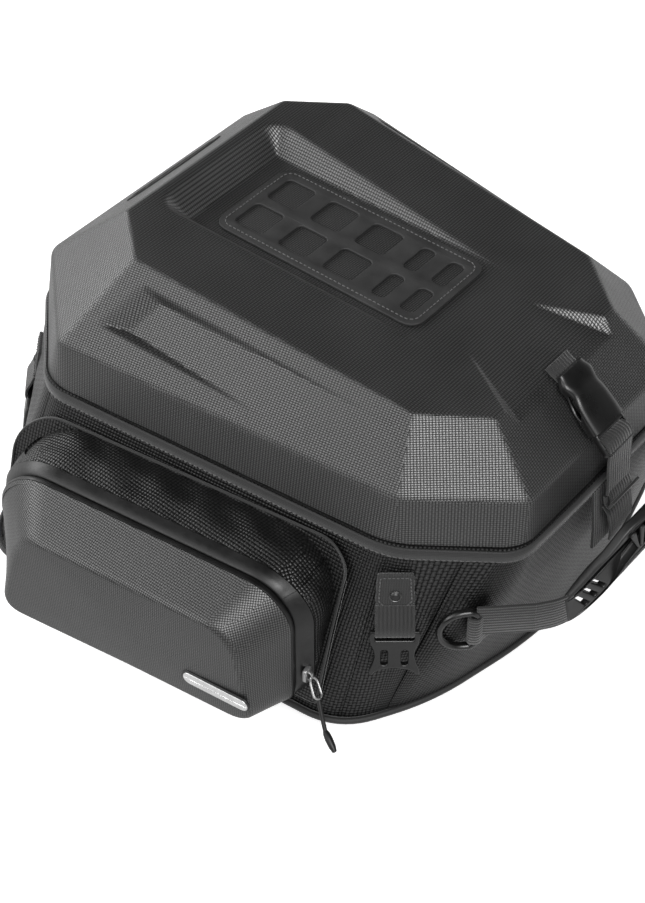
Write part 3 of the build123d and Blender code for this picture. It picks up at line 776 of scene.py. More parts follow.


# lift sets the share of painted highlight on the outward edges of each weave.
FINE_WEAVE = woven("moulded_fine_weave", tone(4), tone(54), 1.9, 1.4, 0.18, rough=0.38, sheen=0.04, lift=0.10,
                   specular=0.95)
COVER_WEAVE = woven("cover_fine_weave", tone(5), tone(50), 1.5, 1.5, 0.13, rough=0.40, sheen=0.05, lift=0.12,
                    specular=0.9)
COARSE_WEAVE = woven("coarse_basket_weave", tone(1), tone(14), 2.2, 2.2, 0.45, rough=0.36, sheen=0.0, fuzz=0.7,
                     specular=0.5)
LINING_WEAVE = woven("lining_cloth", tone(58), tone(92), 0.8, 0.8, 0.05, rough=0.7, sheen=0.4)
TAPE = ribbed("binding_tape", tone(4), tone(36), 1.1, 0.12)
WEBBING = ribbed("webbing_ribs", tone(3), tone(36), 2.4, 0.45)
GROSGRAIN = ribbed("grosgrain", tone(4), tone(40), 1.5, 0.3)
PATCH_GROUND = woven("patch_ground_cloth", tone(16), tone(44), 1.5, 1.5, 0.1, rough=0.6, sheen=0.1)
PLASTIC = moulded("buckle_plastic", tone(16), 0.30, wear=0.3, coat=0.2)
SATIN = moulded("satin_ring_plastic", tone(15), 0.26, wear=0.3, coat=0.3)
PATCH_RUBBER = moulded("patch_rubber", tone(42), 0.60, grain=0.9, depth=0.06, wear=0.2)
GRIP_RUBBER = moulded("grip_rubber", tone(26), 0.42, grain=0.8, depth=0.05, wear=0.3)
CORD_RUBBER = moulded("cord_rubber", tone(14), 0.45, wear=0.15)
BASE_GRIP = moulded("non_slip_base", tone(28), 0.8, grain=2.2, depth=0.5, wear=0.1)
BOARD = moulded("stiff_board", tone(52), 0.6, grain=1.4, depth=0.1, wear=0.1)
ZIP_TAPE = coated("coated_zip_tape", tone(8), 0.38)
ZIP_METAL = metal("zip_metal", 0.42, 0.3, 0.75)
BRIGHT_METAL = metal("bright_plate", 0.80, 0.24, 0.95)
RIVET_METAL = metal("dark_rivet", 0.05, 0.32, 0.30)
THREAD = thread_material()
REFLECTIVE = reflector_material()


# ---------------------------------------------------------------- lid
LID_CUTS = [12, 16, 16, 14, 14, 16, 16, 12]
LID_STEPS = [46, 124, 38, 84, 38, 124, 46, 98]


def lid_rings(grow=0.0):
    """Corner rings of the lid: its lower edge, the top of the band, the edge of the plateau."""
    foot_share = LID_LIFT / (BAND_Z - RIM_Z)
    rim = plan(RIM[:4], RIM_Z + LID_LIFT, RIM_FALL)
    band = plan(BAND_TOP, BAND_Z, BAND_FALL)
    foot = rim.copy()
    foot[:, :2] = between(rim, band, foot_share)[:, :2]
    top = plan(PLATEAU, PLATEAU_Z, PLATEAU_FALL)
    return foot, band, top


def grooved(points, side):
    """Presses the long wedge-shaped hollow into one side facet; deepest at its rear end."""
    top_rear, top_front = (np.array([x, side * y, PLATEAU_Z - PLATEAU_FALL * x]) for x, y in PLATEAU[1:3])
    low_rear = np.array([BAND_TOP[1][0], side * BAND_TOP[1][1], BAND_Z - BAND_FALL * BAND_TOP[1][0]])
    along = unit(top_front - top_rear)
    normal = unit(np.cross(along, low_rear - top_rear))
    normal = normal if normal[2] > 0 else -normal
    down = unit((low_rear - top_rear) - along * np.dot(low_rear - top_rear, along))
    rel = points - top_rear
    s, t, h = rel @ along, rel @ down, rel @ normal
    front_end = 184 - (t - 12) * 1.3
    rear_end = 15 - (t - 12) * 0.44
    floor = -7.5 * np.clip(1 - s / front_end, 0, 1)
    walls = np.maximum(1.4 * (12 - t), 1.4 * (t - 46))
    rear_wall = 0.45 * (rear_end - s)
    want = np.maximum(np.maximum(floor, walls), rear_wall)
    near = (s > -20) & (s < 200) & (t > 0) & (t < 62) & (np.abs(h) < 6)
    pressed = soft_min(h, np.where(near, want, 99.0), 1.7)
    return points + normal * (pressed - h)[..., None]


def tray_height(p):
    """Surface of the tray pressed into the plateau."""
    dx = np.maximum(np.maximum(PAN_REAR - p[..., 0], p[..., 0] - PAN_FRONT), 0)
    dy = np.maximum(np.abs(p[..., 1]) - PAN_HALF, 0)
    return PAN_FLOOR_Z + PAN_SLOPE * np.hypot(dx, dy)


def ramp_height(p):
    """Surface of the notch that leads the front strap off the plateau."""
    x, y = p[..., 0], np.abs(p[..., 1])
    start = 103.0
    run = np.maximum(x - start, 0)
    floor = PLATEAU_Z - PLATEAU_FALL * x - 0.15 * run
    beyond = np.maximum(y - (30 + 0.37 * run), 0)
    return np.where(x > start - 6, floor + 0.9 * beyond, 999.0)


def lid_surface():
    foot, band, top = lid_rings()
    centre = np.array([[PATCH_X, 0, PLATEAU_Z - PLATEAU_FALL * PATCH_X]])
    hub = between(centre, top, 0.16)
    rings = [rounded_loop(foot, LID_CUTS, LID_STEPS), rounded_loop(band, 5, LID_STEPS),
             rounded_loop(top, 3, LID_STEPS), rounded_loop(hub, 0.5, LID_STEPS)]
    rows = soft_rows(rings, [3.2, 2.8], [15, 42, 56], bend=8)
    flat = rows.copy()
    for side in (-1, 1):
        rows = grooved(rows, side)
    rows[..., 2] = soft_min(rows[..., 2], tray_height(rows), 1.8)
    rows[..., 2] = soft_min(rows[..., 2], ramp_height(rows), 1.0)
    return rows, flat


def make_lid():
    rows, flat = lid_surface()
    lip = rows[0] + row_normals(rows)[0] * -1.2
    lip[:, 2] -= 0.8
    outer = np.concatenate([lip[None], rows])
    inner = (outer - row_normals(outer) * 3.0)[::1]
    inner[:, :, 2] = np.maximum(inner[:, :, 2], outer[0][:, 2])
    lid = closed_shell("lid_cover_skin", outer, inner, FINE_WEAVE)
    foot, band, top = lid_rings()
    facets = facet_normals((foot, band), (band, top)) + [np.array([0.084, 0, 1.0])]
    source = np.concatenate([flat[:1], flat])
    shape = row_normals(source)
    faces_n = unit(shape[:-1] + shape[1:]).reshape(-1, 3)
    count = len(lid.data.polygons)
    normals = np.zeros(count * 3)
    lid.data.polygons.foreach_get("normal", normals)
    normals = normals.reshape(-1, 3)
    normals[: len(faces_n)] = faces_n
    lay_weave(lid, facets, normals)
    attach(lid, "lid")
    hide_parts("lid_shell")


def make_patch():
    """The rubber patch in the tray, with two rows of windows and a sewn border."""
    length, width, thick = PATCH
    windows = []
    for row in (-1, 1):
        for x, size in [(-60 + 36 * i, 24.0) for i in range(3)] + [(44 + 22 * i, 11.0) for i in range(2)]:
            windows.append(rounded_rect(size, 24, 4.0, x, row * 16))
    place = Frame((PATCH_X, 0, PAN_FLOOR_Z + 0.1), (1, 0, 0), (0, 0, 1))
    patch = plate("top_patch_rubber", rounded_rect(length, width, 10), windows, thick, place, PATCH_RUBBER, bevel=0.7)
    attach(patch, "lid")
    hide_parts("top_patch")
    border = np.array([(x, y, thick) for x, y in rounded_rect(length - 8, width - 8, 7, steps=8)])
    border = np.vstack([border, border[:1]])
    seam = stitches("top_patch_stitching", smooth_path(place(border), 1.5, 1.0), (0, 0, 1), THREAD)
    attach(seam, "lid")
    floor = plate("top_patch_ground", rounded_rect(length - 4, width - 4, 9), [], 0.6,
                  place.shifted(z=-0.35), PATCH_GROUND, bevel=0.2)
    lay_weave(floor)
    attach(floor, "lid")


# ---------------------------------------------------------------- body
BASE_CUTS = [22, 26, 24, 26, 34, 34, 26, 24, 26, 22]
RIM_CUTS = [12, 16, 16, 14, 20, 20, 14, 16, 16, 12]
BODY_STEPS = [32, 92, 28, 18, 26, 18, 28, 92, 32, 62]
BEND = 10
BELLY = 2.6


def body_rows(count=52, inward=0.0):
    """Outer surface of the body from the base to the rim, one column per step round it."""
    base = rounded_loop(plan(BASE, 0.0), BASE_CUTS, BODY_STEPS, BEND)
    rim = rounded_loop(plan(RIM, RIM_Z, RIM_FALL), RIM_CUTS, BODY_STEPS, BEND)
    rows = np.array([between(base, rim, t) for t in np.linspace(0, 1, count)])
    return rows - row_normals(rows) * inward if inward else rows


def seam_columns():
    """Columns where body panels meet: rear, both rear corners, both front corners."""
    starts = np.concatenate([[0], np.cumsum([BEND + s for s in BODY_STEPS])])
    total = starts[-1]
    front = starts[2] + BEND + int(BODY_STEPS[2] * 0.62)
    right = [starts[0] + BEND // 2, starts[1] + BEND // 2, starts[2] + BEND // 2, front]
    left = [total - BODY_STEPS[-1] - c for c in right]
    return right, left, total


def padded(rows, columns):
    """Swells each panel a little between its seams and lets the cloth ride unevenly."""
    count, width = rows.shape[:2]
    normals = row_normals(rows)
    c = np.arange(width)
    gap = np.full(width, 1e3)
    spacing = np.linalg.norm(np.roll(rows, -1, 1) - rows, axis=2).mean(0)
    for column in columns:
        steps = np.abs((c - column + width / 2) % width - width / 2)
        gap = np.minimum(gap, steps * spacing.mean())
    height = np.sin(np.linspace(0, math.pi, count))[:, None]
    swell = BELLY * height * (1 - np.exp(-gap / 18))[None]
    pinch = -0.7 * np.exp(-((gap / 1.6) ** 2))[None] * np.ones((count, 1))
    folds = 0.55 * ripple(rows, 16.0) * np.exp(-gap / 26)[None] * height
    slack = 0.8 * ripple(rows, 34.0, 2.0) * height
    return rows + normals * (swell + pinch + folds + slack)[..., None]


def wall_offset(s, z):
    """How far out of the upright pocket plane the right-hand side wall stands at (s, z)."""
    (x1, y1), (x2, y2) = RIM[1], RIM[2]
    (u1, v1), (u2, v2) = BASE[1], BASE[2]
    k = z / (RIM_Z - RIM_FALL * (x1 + x2) / 2)
    a = np.stack([u1 + (x1 - u1) * k, -(v1 + (y1 - v1) * k)], -1)
    b = np.stack([u2 + (x2 - u2) * k, -(v2 + (y2 - v2) * k)], -1)
    mid, t, n = SIDE.o[:2], SIDE.x[:2], -SIDE.y[:2]
    sa, sb = (a - mid) @ t, (b - mid) @ t
    share = np.clip((s - sa) / (sb - sa), 0, 1)[..., None]
    belly = BELLY * np.sin(np.clip(k, 0, 1) * math.pi)
    return (a + (b - a) * share - mid) @ n + belly


side_a = np.array([RIM[1][0], -RIM[1][1], 0.0])
side_b = np.array([RIM[2][0], -RIM[2][1], 0.0])
SIDE = Frame((side_a + side_b) / 2, side_b - side_a, (0, 0, 1))


def on_side(p):
    """Points given as (along the wall, out from it, up) in the bag's frame."""
    p = np.asarray(p, float)
    return SIDE(np.stack([p[..., 0], -p[..., 1], p[..., 2]], -1))


def body_uv(rows):
    """Weave level of the body: distance round each panel and height up the wall."""
    run = np.concatenate([[0], np.cumsum(np.linalg.norm(np.diff(rows[len(rows) // 2], axis=0), axis=1))])
    up = np.linalg.norm(np.diff(rows, axis=0), axis=2).mean(1)
    rise = np.concatenate([[0], np.cumsum(up)])
    return np.stack(np.broadcast_arrays(run[None, :], rise[:, None]), -1)


def make_body():
    right, left, total = seam_columns()
    rows = padded(body_rows(), right + left)
    names = [("rear_panel", left[0] - total, right[0]), ("corner_panel_rear_right", right[0], right[1]),
             ("side_panel_right", right[1], right[2]), ("corner_panel_front_right", right[2], right[3]),
             ("front_panel", right[3], left[3]), ("corner_panel_front_left", left[3], left[2]),
             ("side_panel_left", left[2], left[1]), ("corner_panel_rear_left", left[1], left[0])]
    for node, first, last in names:
        columns = np.arange(first, last + 1) % total
        part = rows[:, columns].copy()
        part[:, 0] = between(part[:, 0], part[:, 1], 0.04)
        part[:, -1] = between(part[:, -1], part[:, -2], 0.04)
        panel = sheet(node + "_cloth", part, 2.2, COARSE_WEAVE)
        uv = body_uv(part)
        write_uv(panel.data, np.concatenate([uv.reshape(-1, 2)] * 2)[corner_points(panel.data)])
        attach(panel, "body")
        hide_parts(node)
    inner = body_rows(40, inward=5.2)[1:-1]
    lining = sheet("body_lining_cloth", inner, 1.0, LINING_WEAVE, closed=True)
    lay_weave(lining)
    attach(lining, "body")
    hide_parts("inner_lining")


def make_base():
    """Non-slip base sheet with rounded corners, and the piping that finishes its edge."""
    outline = rounded_loop(plan(BASE, 0.0), BASE_CUTS, 6, BEND)
    skin = plate("base_sheet", [(x, y) for x, y, _ in outline], [], 2.0,
                 Frame((0, 0, 0), (1, 0, 0), (0, 0, 1)), BASE_GRIP, bevel=0.6)
    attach(skin, "body")
    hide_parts("base_skin")
    path = rounded_loop(plan(BASE, 2.6), BASE_CUTS, [s // 2 for s in BODY_STEPS], BEND)
    out = unit(np.cross(np.roll(path, -1, 0) - np.roll(path, 1, 0), (0, 0, 1)))
    piping = sweep("base_piping", path + out * 0.8, circle(2.3, 14), (0, 0, 1), TAPE, closed=True)
    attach(piping, "body")


def make_rim_binding():
    """Binding tape over the body's top edge, sewn along its lower side."""
    low = rounded_loop(plan(RIM, RIM_Z, RIM_FALL), RIM_CUTS, BODY_STEPS, BEND)
    out = unit(np.cross(np.roll(low, -1, 0) - np.roll(low, 1, 0), (0, 0, 1)))
    tape_h = BINDING_H + 3.0
    shape = [(0.0, 0.6), (1.6, 0.9), (4.4, 1.25), (tape_h - 1.2, 0.9), (tape_h, 0.0),
             (tape_h, -2.2), (tape_h - 1.0, -3.2), (1.0, -3.2), (0.0, -2.4)]
    section = np.array([low + out * o + np.array([0, 0, h - 3.0]) for h, o in shape])
    run = np.concatenate([[0], np.cumsum(np.linalg.norm(np.diff(low, axis=0), axis=1))])
    uv = np.stack(np.broadcast_arrays(np.array([h for h, _ in shape])[:, None], run[None, :]), -1)
    tape = ring_piece("rim_binding_tape", section, TAPE, uv=uv)
    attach(tape, "body")
    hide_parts("rim_binding")
    line = low + out * 0.95 + np.array([0, 0, -1.6])
    seam = stitches("rim_binding_stitching", np.vstack([line, line[:1]]), np.vstack([out, out[:1]]), THREAD,
                    pitch=3.6, length=2.6, radius=0.34)
    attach(seam, "body")


# ---------------------------------------------------------------- side pocket
POCKET_STEPS = [30, 12, 66, 12, 34, 74]
MOUTH_CUT = [18, 26, 24, 26, 24, 16]


def pocket_loop(points, off, cut):
    """A rounded outline of the pocket, counter-clockwise seen from outside, at one distance out."""
    ring = np.array([(s, off, z) for s, z in points])
    return rounded_loop(ring, cut, POCKET_STEPS, 8)


def shrunk(points, by):
    """An outline moved inward by the same distance along every edge."""
    count = len(points)
    lines = []
    for i in range(count):
        (ax, ay), (bx, by_) = points[i], points[(i + 1) % count]
        length = math.hypot(bx - ax, by_ - ay)
        nx, ny = (by_ - ay) / length, -(bx - ax) / length
        lines.append((nx, ny, nx * ax + ny * ay + by))
    out = []
    for (a, b, c), (d, e, f) in zip(lines[-1:] + lines[:-1], lines):
        det = a * e - b * d
        out.append(((c * e - b * f) / det, (a * f - c * d) / det))
    return out


def make_pocket_cover():
    start = MOUTH_OFF + ZIP_BAND
    mouth = pocket_loop(POCKET_MOUTH, start, MOUTH_CUT)
    face = pocket_loop(POCKET_FACE, FACE_OFF, [16, 14, 12, 10, 12, 16])
    hub = between(face.mean(0)[None], face, 0.12)
    rows = soft_rows([mouth, face, hub], [3.5], [16, 40], bend=10)
    inward = np.clip((np.arange(len(rows)) - 20) / (len(rows) - 20), 0, 1)
    rows[:, :, 1] += 1.6 * (1 - (1 - inward[:, None]) ** 2)
    lip = mouth.copy()
    lip[:, 1] -= 0.2
    lip = between(lip.mean(0)[None], lip, 0.985)
    outer = on_side(np.concatenate([lip[None], rows]))[:, ::-1]
    inner = outer - row_normals(outer) * 2.6
    cover = closed_shell("pocket_cover_shell", outer, inner, COVER_WEAVE)
    lay_weave(cover)
    return cover


def pocket_outward(ring):
    """Directions in the pocket's upright plane that point away from its middle."""
    ahead = np.roll(ring, -1, 0) - np.roll(ring, 1, 0)
    return unit(np.stack([-ahead[:, 2], 0 * ahead[:, 0], ahead[:, 0]], -1))


def flare(low_off):
    """How far the pocket's sides spread toward the wall, at one distance out."""
    return ZIP_FLARE * np.clip((MOUTH_OFF - low_off) / ZIP_TAPE_W, 0, 1) ** 1.3


def spread_loop(off):
    """The pocket's mouth carried in toward the wall, spreading everywhere but along the base."""
    mouth = pocket_loop(POCKET_MOUTH, off, MOUTH_CUT)
    share = ease((mouth[:, 2:3] - 10) / 22)
    return mouth + pocket_outward(mouth) * flare(off) * share * np.array([1.0, 1.0, 0.35])


def zip_band(name, low, high, drop):
    """Half of the coated zip tape: a crowned band that follows the pocket's mouth."""
    shape = [(0.0, -0.8), (0.10, 0.5), (0.5, 1.1), (0.90, 0.6), (1.0, -0.6), (1.0, -2.6), (0.0, -2.6)]
    rows = []
    for share, rise in shape:
        ring = spread_loop(low + (high - low) * share)
        rows.append(ring + pocket_outward(ring) * (rise - drop))
    return ring_piece(name, on_side(np.array(rows))[:, ::-1], ZIP_TAPE)


def gusset_rows(count=26):
    """Cloth sides of the pocket from the body's wall out to the zip."""
    mouth = spread_loop(MOUTH_OFF - ZIP_TAPE_W + 0.4)
    root = mouth.copy()
    root[:, 1] = np.minimum(wall_offset(root[:, 0], root[:, 2]) + 1.0, MOUTH_OFF - ZIP_TAPE_W - 3)
    rows = np.array([between(root, mouth, t) for t in np.linspace(0, 1, count)])
    return rows, mouth, root


def make_gusset():
    """Puffed cloth sides between the body and the zip."""
    rows, mouth, root = gusset_rows()
    out = pocket_outward(mouth)
    depth = mouth[:, 1] - root[:, 1]
    t = np.linspace(0, 1, len(rows))[:, None]
    low_side = ease((mouth[:, 2] - 14) / 20)[None]
    puff = 3.0 * np.sin(math.pi * t) * np.clip(depth / 45, 0.15, 1)[None] * low_side
    folds = 1.3 * ripple(rows, 11.0, 3.0) * np.sin(math.pi * t) * low_side
    rows = rows + out[None] * (puff + folds)[..., None]
    gusset = sheet("pocket_gusset_cloth", on_side(rows)[:, ::-1], 1.8, COARSE_WEAVE, closed=True)
    lay_weave(gusset)
    return gusset


def on_wall(ring, lift):
    out = np.array(ring, float)
    out[..., 1] = wall_offset(out[..., 0], out[..., 2]) + lift
    return out


def make_backing():
    """The flange sewn to the side wall round the pocket, with its bound edge."""
    outer = pocket_loop(POCKET_FLANGE, 0.0, [6, 26, 24, 26, 16, 6])
    inner = pocket_loop(shrunk(POCKET_MOUTH, 6), 0.0, [6, 20, 18, 20, 18, 6])
    rows = np.array([between(inner, outer, t) for t in np.linspace(0, 1, 10)])
    rows = on_wall(rows, 1.6)
    backing = sheet("pocket_backing_cloth", on_side(rows)[:, ::-1], 1.6, COARSE_WEAVE, closed=True)
    lay_weave(backing)
    edge = on_wall(between(outer.mean(0)[None], outer, 0.99), 1.8)
    binding = sweep("pocket_flange_binding", on_side(edge), band_section(5.0, 1.6, 0.7), (0, 0, 1), TAPE, closed=True)
    return backing, binding


def make_nameplate():
    place = Frame(on_side([NAMEPLATE_S, FACE_OFF + 0.9, NAMEPLATE_Z]), SIDE.x, -SIDE.y)
    length, height, thick = NAMEPLATE
    bar = plate("pocket_nameplate_bar", rounded_rect(length - 3, height - 3, (height - 3) / 2, steps=12), [],
                thick, place, BRIGHT_METAL, bevel=0.5)
    frame_rim = plate("pocket_nameplate_panel", rounded_rect(length, height, height / 2, steps=12), [],
                      thick - 0.7, place, RIVET_METAL, bevel=0.4)
    return bar, frame_rim


def make_pocket():
    cover = make_pocket_cover()
    band_cover = zip_band("pocket_zip_cover_tape", MOUTH_OFF + 0.25, MOUTH_OFF + ZIP_BAND, 0.3)
    band_gusset = zip_band("pocket_zip_gusset_tape", MOUTH_OFF - ZIP_TAPE_W, MOUTH_OFF - 0.25, 0.0)
    backing, binding = make_backing()
    gusset = make_gusset()
    bar, panel = make_nameplate()
    settle(cover, "pocket_cover", "pocket_cover", "moulded_fabric")
    settle(band_cover, "pocket_cover", "pocket_zip_cover", "tape")
    settle(band_gusset, "body", "pocket_zip_gusset", "tape")
    settle(backing, "body", "pocket_backing", "coarse_weave")
    settle(binding, "body", None, "tape")
    settle(gusset, "body", "pocket_gusset", "coarse_weave")
    settle(bar, "pocket_cover", "pocket_nameplate", "bright_metal")
    settle(panel, "pocket_cover", None, "zip_metal")


# ---------------------------------------------------------------- corner fittings
def wall_point(corner, share, z):
    """A point on the right-hand wall, part of the way from one corner of the plan to the next."""
    rim = between(RIM[corner], RIM[corner + 1], share)
    foot = between(BASE[corner], BASE[corner + 1], share)
    x, y = between(foot, rim, z / (RIM_Z - RIM_FALL * rim[0]))
    return np.array([x, -y, z])


def wall_frame(corner, share, z):
    """Frame on the right-hand wall: x level and forward, y up the wall, z outward."""
    here = wall_point(corner, share, z)
    forward = wall_point(corner, share + 0.01, z) - here
    up = wall_point(corner, share, z + 1) - here
    return Frame(here, forward, np.cross(forward, up))


def strap(name, place, path, width, thick, material, across=(1, 0, 0)):
    """Webbing swept along a path given in a frame's own coordinates."""
    side = place(across) - place.o
    return sweep(name, place(smooth_path(path, 1.2, 5.0)), band_section(width, thick, 0.5), side, material)


def male_buckle(name, place):
    """Male half of a side-release buckle: waisted sides, slot, two windows and a notched end."""
    curve = [(15, 0), (15.4, -4), (14.6, -9), (12.4, -14), (12.0, -18), (13.2, -23), (15.2, -28), (15.5, -31),
             (13, -31.6)]
    notch = [(13 * math.cos(a), -31.6 + 5.2 * math.sin(a)) for a in np.linspace(0.25, math.pi - 0.25, 12)]
    outline = [(-x, y) for x, y in reversed(curve)] + curve
    outline = outline + notch
    slot = rounded_rect(WEBBING_W - 1, 3.4, 1.4, 0, -4.6)
    windows = [rounded_rect(4.2, 11, 1.8, side * 6.2, -18.5) for side in (-1, 1)]

    def crown(points):
        points = points.copy()
        swell = 1 - 0.22 * (points[:, 0] / 15) ** 2
        points[:, 2] = (points[:, 2] - BUCKLE_T / 2) * swell
        return points

    return plate(name, outline, [slot] + windows, BUCKLE_T, place, PLASTIC, bevel=1.1, dish=crown)


def corner_tab(name, place):
    """Sewn tab with chamfered corners that carries the webbing loop."""
    outline = [(-TAB_W / 2 + 1, 0), (-TAB_W / 2, -TAB_H + 7), (-TAB_W / 2 + 7, -TAB_H), (TAB_W / 2 - 7, -TAB_H),
               (TAB_W / 2, -TAB_H + 7), (TAB_W / 2 - 1, 0)]
    outline = rounded_outline(outline, 1.6, 6, 4)
    tab = plate(name, outline, [], 2.4, place.shifted(z=1.0), GROSGRAIN, bevel=0.8)
    lay_weave(tab)
    middle = np.mean(outline, axis=0)
    line = [middle + (np.array(p) - middle) * 0.82 for p in outline]
    line = np.array([(x, y, 3.4) for x, y in line + line[:1]])
    seam = stitches(name + "_stitching", place(line), place.z, THREAD, pitch=2.6, length=1.9)
    return tab, seam


def corner_rivet(name, place):
    """Domed rivet with a rolled rim and a small centre dimple."""
    r = 3.9
    profile = [(0, 0), (r * 0.9, 0), (r, 0.35), (r * 0.97, 0.8), (r * 0.84, 1.0), (r * 0.78, 0.85), (r * 0.7, 1.2),
               (r * 0.45, 1.9), (r * 0.2, 2.1), (r * 0.12, 1.95), (0, 1.9)]
    return lathe(name, profile, place.shifted(y=-TAB_H / 2 - 2, z=3.3), RIVET_METAL)


def buckle_loop(name, place):
    """Webbing looped through the buckle's slot and sewn under the tab."""
    top, bar = -TAB_H + 5, -TAB_H - LOOP_H - 3.2
    path = [(0, top, 1.2), (0, -TAB_H - 2, 2.6), (0, bar + 3, 1.2), (0, bar - 3.4, 2.6), (0, bar - 3.6, 6.4),
            (0, bar + 3, 7.6), (0, -TAB_H - 2, 4.9), (0, top, 3.2)]
    loop = strap(name, place, path, WEBBING_W - 1, WEBBING_T, WEBBING)
    line = np.array([(x, -TAB_H - 5.5, 5.4) for x in np.linspace(-10.5, 10.5, 12)])
    seam = stitches(name + "_stitching", place(line), place.z, THREAD, pitch=2.4, length=1.7)
    return loop, seam


def make_corners():
    """Tab, rivet, loop and male buckle at all four corners."""
    spots = {"front": wall_frame(2, 0.09, FITTING_TOP), "rear": wall_frame(0, 0.25, FITTING_TOP)}
    tabs, rivets, loops, seams = [], [], [], []
    for end, place in spots.items():
        tab, tab_seam = corner_tab(f"corner_tab_{end}_right", place)
        rivet = corner_rivet(f"corner_rivet_{end}_right", place)
        loop, loop_seam = buckle_loop(f"buckle_loop_{end}_right", place)
        male_top = -TAB_H - 0.4 - LOOP_H - 2.8
        buckle = male_buckle(f"strap_buckle_{end}_right", place.shifted(y=male_top, z=BUCKLE_OUT))
        for group, piece in ((tabs, tab), (rivets, rivet), (loops, loop), (seams, tab_seam), (seams, loop_seam)):
            group += [piece, mirrored(piece, piece.name.replace("_right", "_left"))]
        for hand, obj in (("right", buckle), ("left", mirrored(buckle, f"strap_buckle_{end}_left"))):
            settle(obj, f"strap_buckle_{end}_{hand}", f"buckle_{end}_{hand}", "buckle_plastic")
    settle(join("corner_tab_set", tabs), "body", "corner_tabs", "coarse_weave")
    settle(join("corner_rivet_set", rivets), "body", "corner_rivets", "zip_metal")
    settle(join("buckle_loop_set", loops), "body", "buckle_loops", "webbing")
    settle(join("corner_stitching", seams), "body", None, "tape")


def make_d_rings():
    """Satin rings lying against the front corners, each held by a folded loop of webbing."""
    place = Frame((171.6, -106.9, 71), (0.69, 0.725, 0), (0, 0, 1))
    flat = Frame(place((0, -RING_OUT, 0)), place.x, -place.y)
    half = RING_BAR / 2 + RING_WIRE
    straight = RING_DEPTH - half - 2 * RING_WIRE
    bow = [(-straight - half * math.cos(a), half * math.sin(a)) for a in np.linspace(-math.pi / 2, math.pi / 2, 17)]
    corners = [(0, -half + 3), (-3, -half)] + bow + [(-3, half), (0, half - 3)]
    path = smooth_path(np.array([(x, y, 0) for x, y in corners + corners[:1]]), 1.2, 1.5)[:-1]
    section = circle(RING_WIRE, 12) * np.array([1.25, 1.0])
    ring = sweep("d_ring_right_wire", flat(path), section, flat.z, SATIN, closed=True)
    for hand, obj in (("right", ring), ("left", mirrored(ring, "d_ring_left_wire"))):
        settle(obj, f"d_ring_{hand}", f"d_ring_{hand}", "buckle_plastic")
    out = RING_OUT
    loop_path = [(13, 0.5, 0), (6, -1.6, 0), (0.5, 3.2 - out, 0), (-4.6, 2.0 - out, 0), (-4.6, -2.0 - out, 0),
                 (0.5, -3.4 - out, 0), (6, -4.0, 0), (13, -1.6, 0)]
    loop = strap("d_ring_loop_right", place, loop_path, WEBBING_W - 2, WEBBING_T, WEBBING, across=(0, 0, 1))
    settle(join("d_ring_loop_set", [loop, mirrored(loop, "d_ring_loop_left")]), "body", "d_ring_loops", "webbing")


# ---------------------------------------------------------------- handles
def grip_lines():
    """Centre line of the grip from right to left, with its inward normals."""
    y = np.linspace(-70, 70, 141)
    far = [(-y_, x_) for x_, y_ in GRIP_PLAN] + [(0, 228.4)] + [(y_, x_) for x_, y_ in reversed(GRIP_PLAN)]
    ends = [(-72, 211.2)] + far + [(72, 211.2)]
    x = np.interp(y, [p[0] for p in ends], [p[1] for p in ends])
    rise = np.interp(np.abs(y), [p[0] for p in reversed(GRIP_ARCH)], [p[1] for p in reversed(GRIP_ARCH)])
    smooth = np.hanning(15) / np.hanning(15).sum()
    pad = len(smooth) // 2
    x = np.convolve(np.pad(x, pad, mode="edge"), smooth, mode="valid")
    rise = np.convolve(np.pad(rise, pad, mode="edge"), smooth, mode="valid")
    return np.stack([x, y, HANDLE_Z + rise], 1)


def make_grip():
    """Rubber grip: a bowed, arched band with three slots at each end and a ribbed pad in the middle."""
    line = grip_lines()
    run = np.concatenate([[0], np.cumsum(np.linalg.norm(np.diff(line, axis=0), axis=1))])
    total = run[-1]
    half = GRIP_H / 2
    slots = []
    for k in range(3):
        for end in (-1, 1):
            slots.append(rounded_rect(3.0, 15.0, 1.4, end * (total / 2 - 11.5 - 7.4 * k), -0.5))
    outline = []
    for u in np.linspace(-total / 2, total / 2, 90):
        share = abs(u) / (total / 2)
        outline.append((u, -half * (0.82 + 0.18 * math.sqrt(max(0.0, 1 - share ** 8)))))
    outline += [(u, -v) for u, v in reversed(outline)]

    def bend(points):
        out = np.zeros_like(points)
        at = np.clip(points[:, 0] + total / 2, 0, total)
        ahead = np.stack([np.gradient(line[:, k], run) for k in range(3)], 1)
        normal = unit(np.cross(ahead, (0, 0, 1)))
        lift = unit(np.cross(normal, ahead))
        thin = 0.55 + 0.45 * ease((total / 2 - np.abs(points[:, 0])) / 26)
        for k in range(3):
            base = np.interp(at, run, line[:, k])
            n = np.interp(at, run, normal[:, k])
            up = np.interp(at, run, lift[:, k])
            out[:, k] = base + up * points[:, 1] + n * (points[:, 2] - 3.4) * thin
        return out

    grip = plate("handle_grip_band", outline, slots, 6.4, Frame((0, 0, 0), (1, 0, 0), (0, 0, 1)), GRIP_RUBBER,
                 bevel=1.6, dish=bend)
    ridges = []
    for k in range(11):
        u = (k - 5) * 5.2
        bar = plate(f"grip_rib_{k}", rounded_rect(3.0, GRIP_H - 9, 1.3, u, 0), [], 2.0,
                    Frame((0, 0, 0), (1, 0, 0), (0, 0, 1)), GRIP_RUBBER, bevel=0.7,
                    dish=lambda p: bend(p + np.array([0, 0, 5.9])))
        ridges.append(bar)
    settle(join("handle_grip_band", [grip] + ridges), "handle", "handle_grip", "grip_rubber")


